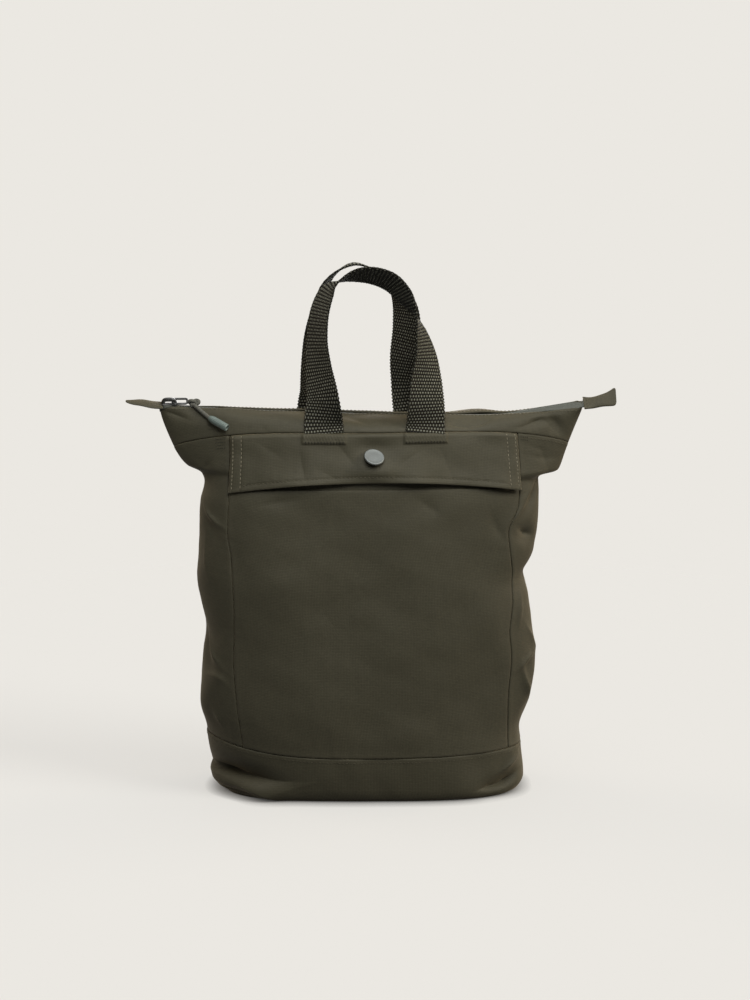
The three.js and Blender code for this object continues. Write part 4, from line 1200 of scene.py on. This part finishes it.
# Webbing: handles and shoulder straps
# Middle line of each handle between its feet: place x, y and z, turn about the vertical and roll in degrees
HANDLE_LINES = {
    "front": np.array([
        [-49, -35, 402, 36, 3],
        [-52.5, -29, 431, 51, 5],
        [-54, -25, 459, 61, 6],
        [-51, -22, 488, 63, 6],
        [-42, -20, 508, 66, 9],
        [-28, -20, 517, 73, 19],
        [-13, -20, 521, 80, 26],
        [2, -20, 520, 80, 29],
        [17, -20, 514, 78, 30],
        [29, -20, 502, 80, 30],
        [38, -21, 488, 90, 22],
        [46, -23, 468, 108, 8],
        [51, -27, 444, 126, 6],
        [51, -31, 421, 146, 5],
        [51, -35, 398, 160, 3],
    ]),
    "back": np.array([
        [-55, 35, 402, -36, 0],
        [-57, 29, 433, -52, 0],
        [-56, 25, 463, -62, 0],
        [-50, 22, 491, -70, 0],
        [-43, 21, 510, -76, -1],
        [-31, 21, 522, -82, -2],
        [-16, 21, 528, -90, -3],
        [-1, 21, 524, -92, -4],
        [16, 21, 513, -102, -3],
        [32, 22, 492, -124, 0],
        [36, 25, 466, -133, 0],
        [35, 29, 433, -140, 0],
        [38, 34, 406, -150, 0],
    ]),
}
# A handle's foot: shares of the yoke's height that it lies between, reach into the seam, and lift
FOOT_RISE = (0.06, 0.18)
FOOT_UNDER = 3.2
FOOT_LIFT = LAYER_GAP + WEB_THICK / 2
# Each strap's line down the back: distance from the middle, height, and the slack that lifts it off
STRAP = np.array([
    [46, 362, 0],
    [47, 348, 0.4],
    [54, 318, 9],
    [70, 250, 21],
    [88, 172, 28],
    [99, 112, 19],
    [103, 82, 5],
    [104, 68, 0],
    [104, 57, 0],
])


def handle_band(panel):
    """Frames along a handle: its feet lie on the yoke, and its table gives place, turn and roll between."""
    rows = HANDLE_LINES[panel]
    places, turns = [], []
    for foot, x in enumerate(HANDLE_FEET[panel]):
        q = across_at(x, YOKE_SEAM.middle)
        q = q if panel == "front" else 3 - q
        on_yoke = folded(yoke, np.full(2, q), np.array(FOOT_RISE), FOOT_LIFT)
        along = facing(yoke, np.array(q), np.array(FOOT_RISE[0]))[1]
        inward = along * np.sign(along[0]) * (1 if foot == 0 else -1)
        turn = np.degrees(np.arctan2(-inward[1], inward[0]))
        places.append(on_yoke if foot == 0 else on_yoke[::-1])
        turns.append([[turn, 0]] * 2)
    line = np.vstack([places[0], rows[:, :3], places[1]])
    line[[0, -1]] += FOOT_UNDER * unit(line[[0, -1]] - line[[1, -2]])
    twist = np.vstack([turns[0], rows[:, 3:], turns[1]])
    t, length = even_shares(line, 520)
    centre = spline(line, t)
    turn, roll = np.radians(spline(twist, t)).T
    along = tangents(centre)
    across = np.stack([np.cos(turn) * np.cos(roll), -np.sin(turn) * np.cos(roll), np.sin(roll)], -1)
    across = unit(across - np.sum(across * along, -1, keepdims=True) * along)
    return SimpleNamespace(centre=centre, across=across, normal=np.cross(along, across), length=length)


def strap_band(side):
    """Frames along a shoulder strap: its places on the back, lifted by the slack and facing as it does."""
    q = 3 - across_at(side * STRAP[:, 0], STRAP[:, 1])
    line = folded(ring, q, STRAP[:, 1], FOOT_LIFT + STRAP[:, 2])
    normals = facing(ring, q, STRAP[:, 1])[3]
    t, length = even_shares(line, 300)
    centre = spline(line, t)
    along = tangents(centre)
    across = unit(np.cross(spline(normals, t), along))
    return SimpleNamespace(centre=centre, across=across, normal=np.cross(along, across), length=length)


def webbing(name, band):
    """Webbing: a flat section with rounded edges carried along a band. Its faces rise and fall with the
    weave, cos across times cos along, so that the floats stand in staggered rows, and its edges are
    notched by the rows."""
    flat = np.linspace(-1, 1, 41) * (WEB_WIDTH / 2 - WEB_EDGE)
    edge = np.linspace(-np.pi / 2, np.pi / 2, 7)[1:-1]
    half = WEB_THICK / 2 - FLOAT_HEIGHT
    bulge = WEB_EDGE * np.cos(edge)
    y = np.concatenate([flat, flat[-1] + bulge, flat[::-1], flat[0] - bulge])
    z = np.concatenate([-half + 0 * flat, half * np.sin(edge), half + 0 * flat, -half * np.sin(edge)])
    face = np.concatenate([-1 + 0 * flat, 0 * edge, 1 + 0 * flat, 0 * edge])
    s = np.linspace(0, band.length, len(band.centre))[:, None]
    row = s + np.where(face < 0, ROW_SPACING, 0)
    rim = np.clip((np.abs(y) - WEB_WIDTH / 2 + 2) / 2, 0, 1) ** 2 * np.sign(y)
    notch = ROW_NOTCH * np.cos(2 * np.pi * s / ROW_SPACING) * rim
    out = z + face * FLOAT_HEIGHT * weave_height(y, row)
    wide = band.across[:, None] * (y + notch)[..., None]
    points = band.centre[:, None] + wide + band.normal[:, None] * out[..., None]
    uv = joined(y, row)
    return tube(name, points, WEB_LOOK, [name], uv)


def band_row(band, start, end, off_start, off_end):
    """A straight sewn row on a band's outer face, from one place along and across it to another."""
    share = np.linspace(0, 1, 24)
    at = (start + (end - start) * share) / band.length * (len(band.centre) - 1)
    station = np.arange(len(band.centre))
    centre, across, normal = (read_at(at, station, grid) for grid in (band.centre, band.across, band.normal))
    off = (off_start + (off_end - off_start) * share)[:, None]
    return [centre + across * off + normal * (WEB_THICK / 2 + 0.1), normal]


def sewn_box(band, start, end, half=15.0):
    """A sewn rectangle with its diagonals on a band's outer face."""
    ends = [(start, -half, end, -half), (start, half, end, half), (start, -half, start, half),
            (end, -half, end, half), (start, -half, end, half), (start, half, end, -half)]
    return [band_row(band, s0, s1, off0, off1) for s0, off0, s1, off1 in ends]


bands_by_name = {
    "handle_front": handle_band("front"),
    "handle_back": handle_band("back"),
    "shoulder_strap_left": strap_band(-1),
    "shoulder_strap_right": strap_band(1),
}
for name, band in bands_by_name.items():
    webbing(name, band)

# Stitching
flap_rows = [part_of(inset_row(flap, edge, d), 3, -1) for edge in ("left", "right") for d in FLAP_ROWS.sides]
sew("flap_side_stitches", flap_rows, TAN_THREAD)
top_rows = [inset_row(flap, "high", d) for d in (9, 10.2)]
foot_rows = [[grid[np.abs(points[:, 0] - foot) < WEB_WIDTH / 2 + 1] for grid in (points, normal)]
             for foot in HANDLE_FEET["front"] for points, normal in top_rows]
sew("handle_foot_stitches", foot_rows, TACK_THREAD, stitch=1.5, gap=1.5, radius=0.4)
hem_row = part_of(inset_row(flap, "low", FLAP_ROWS.hem), 14, -14)
sew("flap_hem_stitches", [hem_row], OLIVE_THREAD)
base_row = [np.vstack([grid, grid[:1]]) for grid in inset_row(base, "high", 4)]
sew("base_stitches", [base_row], OLIVE_THREAD, radius=0.24)
zip_rows = [part_of(inset_row(panel, "high", 3.5), 8, -8) for panel in (yoke_front, yoke_back)]
sew("zip_edge_stitches", zip_rows, OLIVE_THREAD)
tack_rows = []
for distance in (2.5, 5.5, 8.5, 11.5):
    row = inset_row(left, "high", distance)
    tack_rows.append(part_of(row, run(row[0], 0)[-1] - 15, -4))
tack_rows += [part_of(inset_row(right, "high", d), 3, 12) for d in (3, 6)]
sew("corner_tacks", tack_rows, TACK_THREAD, stitch=1.6, gap=0.5, radius=0.35)
side_rows = [inset_row(back, edge, 4) for edge in ("left", "right")] + [inset_row(back, "high", 4)]
sew("back_seam_stitches", side_rows, OLIVE_THREAD)
sew("side_seam_stitches", [part_of(inset_row(right, "high", 3.5), 2, 75)], OLIVE_THREAD)
strap_rows = []
for side in ("left", "right"):
    strap = bands_by_name["shoulder_strap_" + side]
    strap_rows += sewn_box(strap, 2, 14) + sewn_box(strap, strap.length - 24, strap.length - 2)
sew("strap_stitches", strap_rows, OLIVE_THREAD)
sew("tab_stitches", tab_rows, OLIVE_THREAD)

# Stage: pale floor that fades into a pale surround, a soft key from the right and front, fill from above
# and both sides, and a softbox in front and behind that leave the floor as it is
PALE = "#ebe8e2"
# Strength of the surround's light from above and from below, and the heights of view where it changes
SURROUND = 0.16
FROM_BELOW = 0.03
HORIZON = SimpleNamespace(low=-0.15, high=0.1)
# The glow's share in the floor's brightness, the reach of the painted contact shadow under the bag and the
# distances where the floor fades out, in metres, and its gap below the bag and its radius in millimetres
FLOOR_GLOW = 0.74
CONTACT_SHADE = 0.014
FLOOR_FADE = SimpleNamespace(start=0.6, end=1.6)
FLOOR_DROP = 0.3
FLOOR_RADIUS = 3000
# Each light's direction, the width of its disc in degrees, its strength and its tint
LIGHTS = {
    "key": ((1.7, -0.75, 1.2), 24, 2.8, "#fff8ec"),
    "top": ((0.1, 0.0, 2.0), 60, 1.7, "#ffffff"),
    "left": ((-1.7, 0.8, 0.7), 30, 1.2, "#ffe9cf"),
    "right": ((1.8, 0.6, 0.6), 30, 1.4, "#ffe2bd"),
}
# Each softbox: its place, where it points, its size and its power
SOFTBOXES = {
    "softbox_front": ((0.0, -0.55, 0.85), (0.0, 0.0, 0.36), 0.4, 6.5),
    "softbox_back": ((0.2, 1.1, 0.42), (0.0, 0.0, 0.25), 0.8, 11),
}


def hang_light(name, kind, place, aim, strength, tint, **settings):
    """A light at a place that points at an aim."""
    lamp = bpy.data.lights.new(name, kind)
    lamp.energy = strength
    lamp.color = ink(tint)[:3]
    for key, value in settings.items():
        setattr(lamp, key, value)
    holder = bpy.data.objects.new(name, lamp)
    holder.location = place
    holder.rotation_euler = (Vector(place) - Vector(aim)).to_track_quat("Z", "Y").to_euler()
    bpy.context.collection.objects.link(holder)
    return holder


for name, (way, spread, strength, tint) in LIGHTS.items():
    hang_light(name, "SUN", way, (0, 0, 0), strength, tint, angle=np.radians(spread))
softboxes = [hang_light(name, "AREA", place, aim, watts, "#ffffff", size=size)
             for name, (place, aim, size, watts) in SOFTBOXES.items()]


def pale_floor():
    """A matt pale floor as bright as the surround where nothing shades it. Most of that is its own glow, as of
    a lit white table, and with distance it lets the surround through, so that no horizon shows. Near the bag
    the glow dims by ambient occlusion: a painted contact shadow."""
    pale = np.array(ink(PALE)[:3])
    lit = SURROUND * pale
    for way, _, strength, tint in LIGHTS.values():
        lit = lit + strength / np.pi * way[2] / np.linalg.norm(way) * np.array(ink(tint)[:3])
    look = new_look("pale_floor")
    place = add(look, "TexCoord", {})
    far = add(look, "VectorMath", {0: place["Object"]}, operation="LENGTH")["Value"]
    fade = add(look, "MapRange", {"Value": far, "From Min": FLOOR_FADE.start, "From Max": FLOOR_FADE.end},
               interpolation_type="SMOOTHSTEP")[0]
    matt = add(look, "BsdfDiffuse", {"Color": (*((1 - FLOOR_GLOW) * pale / lit), 1)})[0]
    # Ambient occlusion dims the glow near the bag: painted contact shadow
    open_sky = add(look, "AmbientOcclusion", {"Distance": CONTACT_SHADE}, samples=8)["AO"]
    glow_with_painted_shadow = add(look, "Math", {0: open_sky, 1: FLOOR_GLOW}, operation="MULTIPLY")[0]
    glow = add(look, "Emission", {"Color": ink(PALE), "Strength": glow_with_painted_shadow})[0]
    both = add(look, "AddShader", {0: matt, 1: glow})[0]
    clear = add(look, "BsdfTransparent", {})[0]
    return close_look(look, add(look, "MixShader", {0: fade, 1: both, 2: clear})[0])


def lay_floor():
    """A disc: circles of growing radius in one plane."""
    a = round_angles(48)
    radius = np.array([0.01, 800, FLOOR_RADIUS])[:, None]
    points = joined(radius * np.cos(a), radius * np.sin(a), -FLOOR_DROP)
    mesh = bpy.data.meshes.new("floor")
    faces = grid_faces(3, 48, loop_columns=True)[:, ::-1].tolist()
    mesh.from_pydata((points.reshape(-1, 3) * MM).tolist(), [], faces)
    mesh.materials.append(pale_floor())
    floor = bpy.data.objects.new("floor", mesh)
    bpy.context.collection.objects.link(floor)
    floor.visible_diffuse = False
    return floor


unlit_by_softbox = bpy.data.collections.new("unlit_by_softbox")
unlit_by_softbox.objects.link(lay_floor())
unlit_by_softbox.collection_objects[0].light_linking.link_state = "EXCLUDE"
for softbox in softboxes:
    softbox.light_linking.receiver_collection = unlit_by_softbox

# Surround: a pale sheet to the eye, and a weaker light, weakest from below
world = bpy.data.worlds.new("studio")
bpy.context.scene.world = world
world.use_nodes = True
world.node_tree.nodes.clear()
seen = add(world, "LightPath", {})["Is Camera Ray"]
way = add(world, "TexCoord", {})["Generated"]
height = add(world, "SeparateXYZ", {0: way})[2]
strength = add(world, "MapRange", {"Value": height, "From Min": HORIZON.low, "From Max": HORIZON.high,
                                   "To Min": FROM_BELOW, "To Max": SURROUND})[0]
glow = add(world, "Background", {"Color": ink(PALE), "Strength": strength})[0]
sheet_behind = add(world, "Background", {"Color": ink(PALE), "Strength": 1.0})[0]
surround = add(world, "MixShader", {0: seen, 1: glow, 2: sheet_behind})[0]
add(world, "OutputWorld", {"Surface": surround})
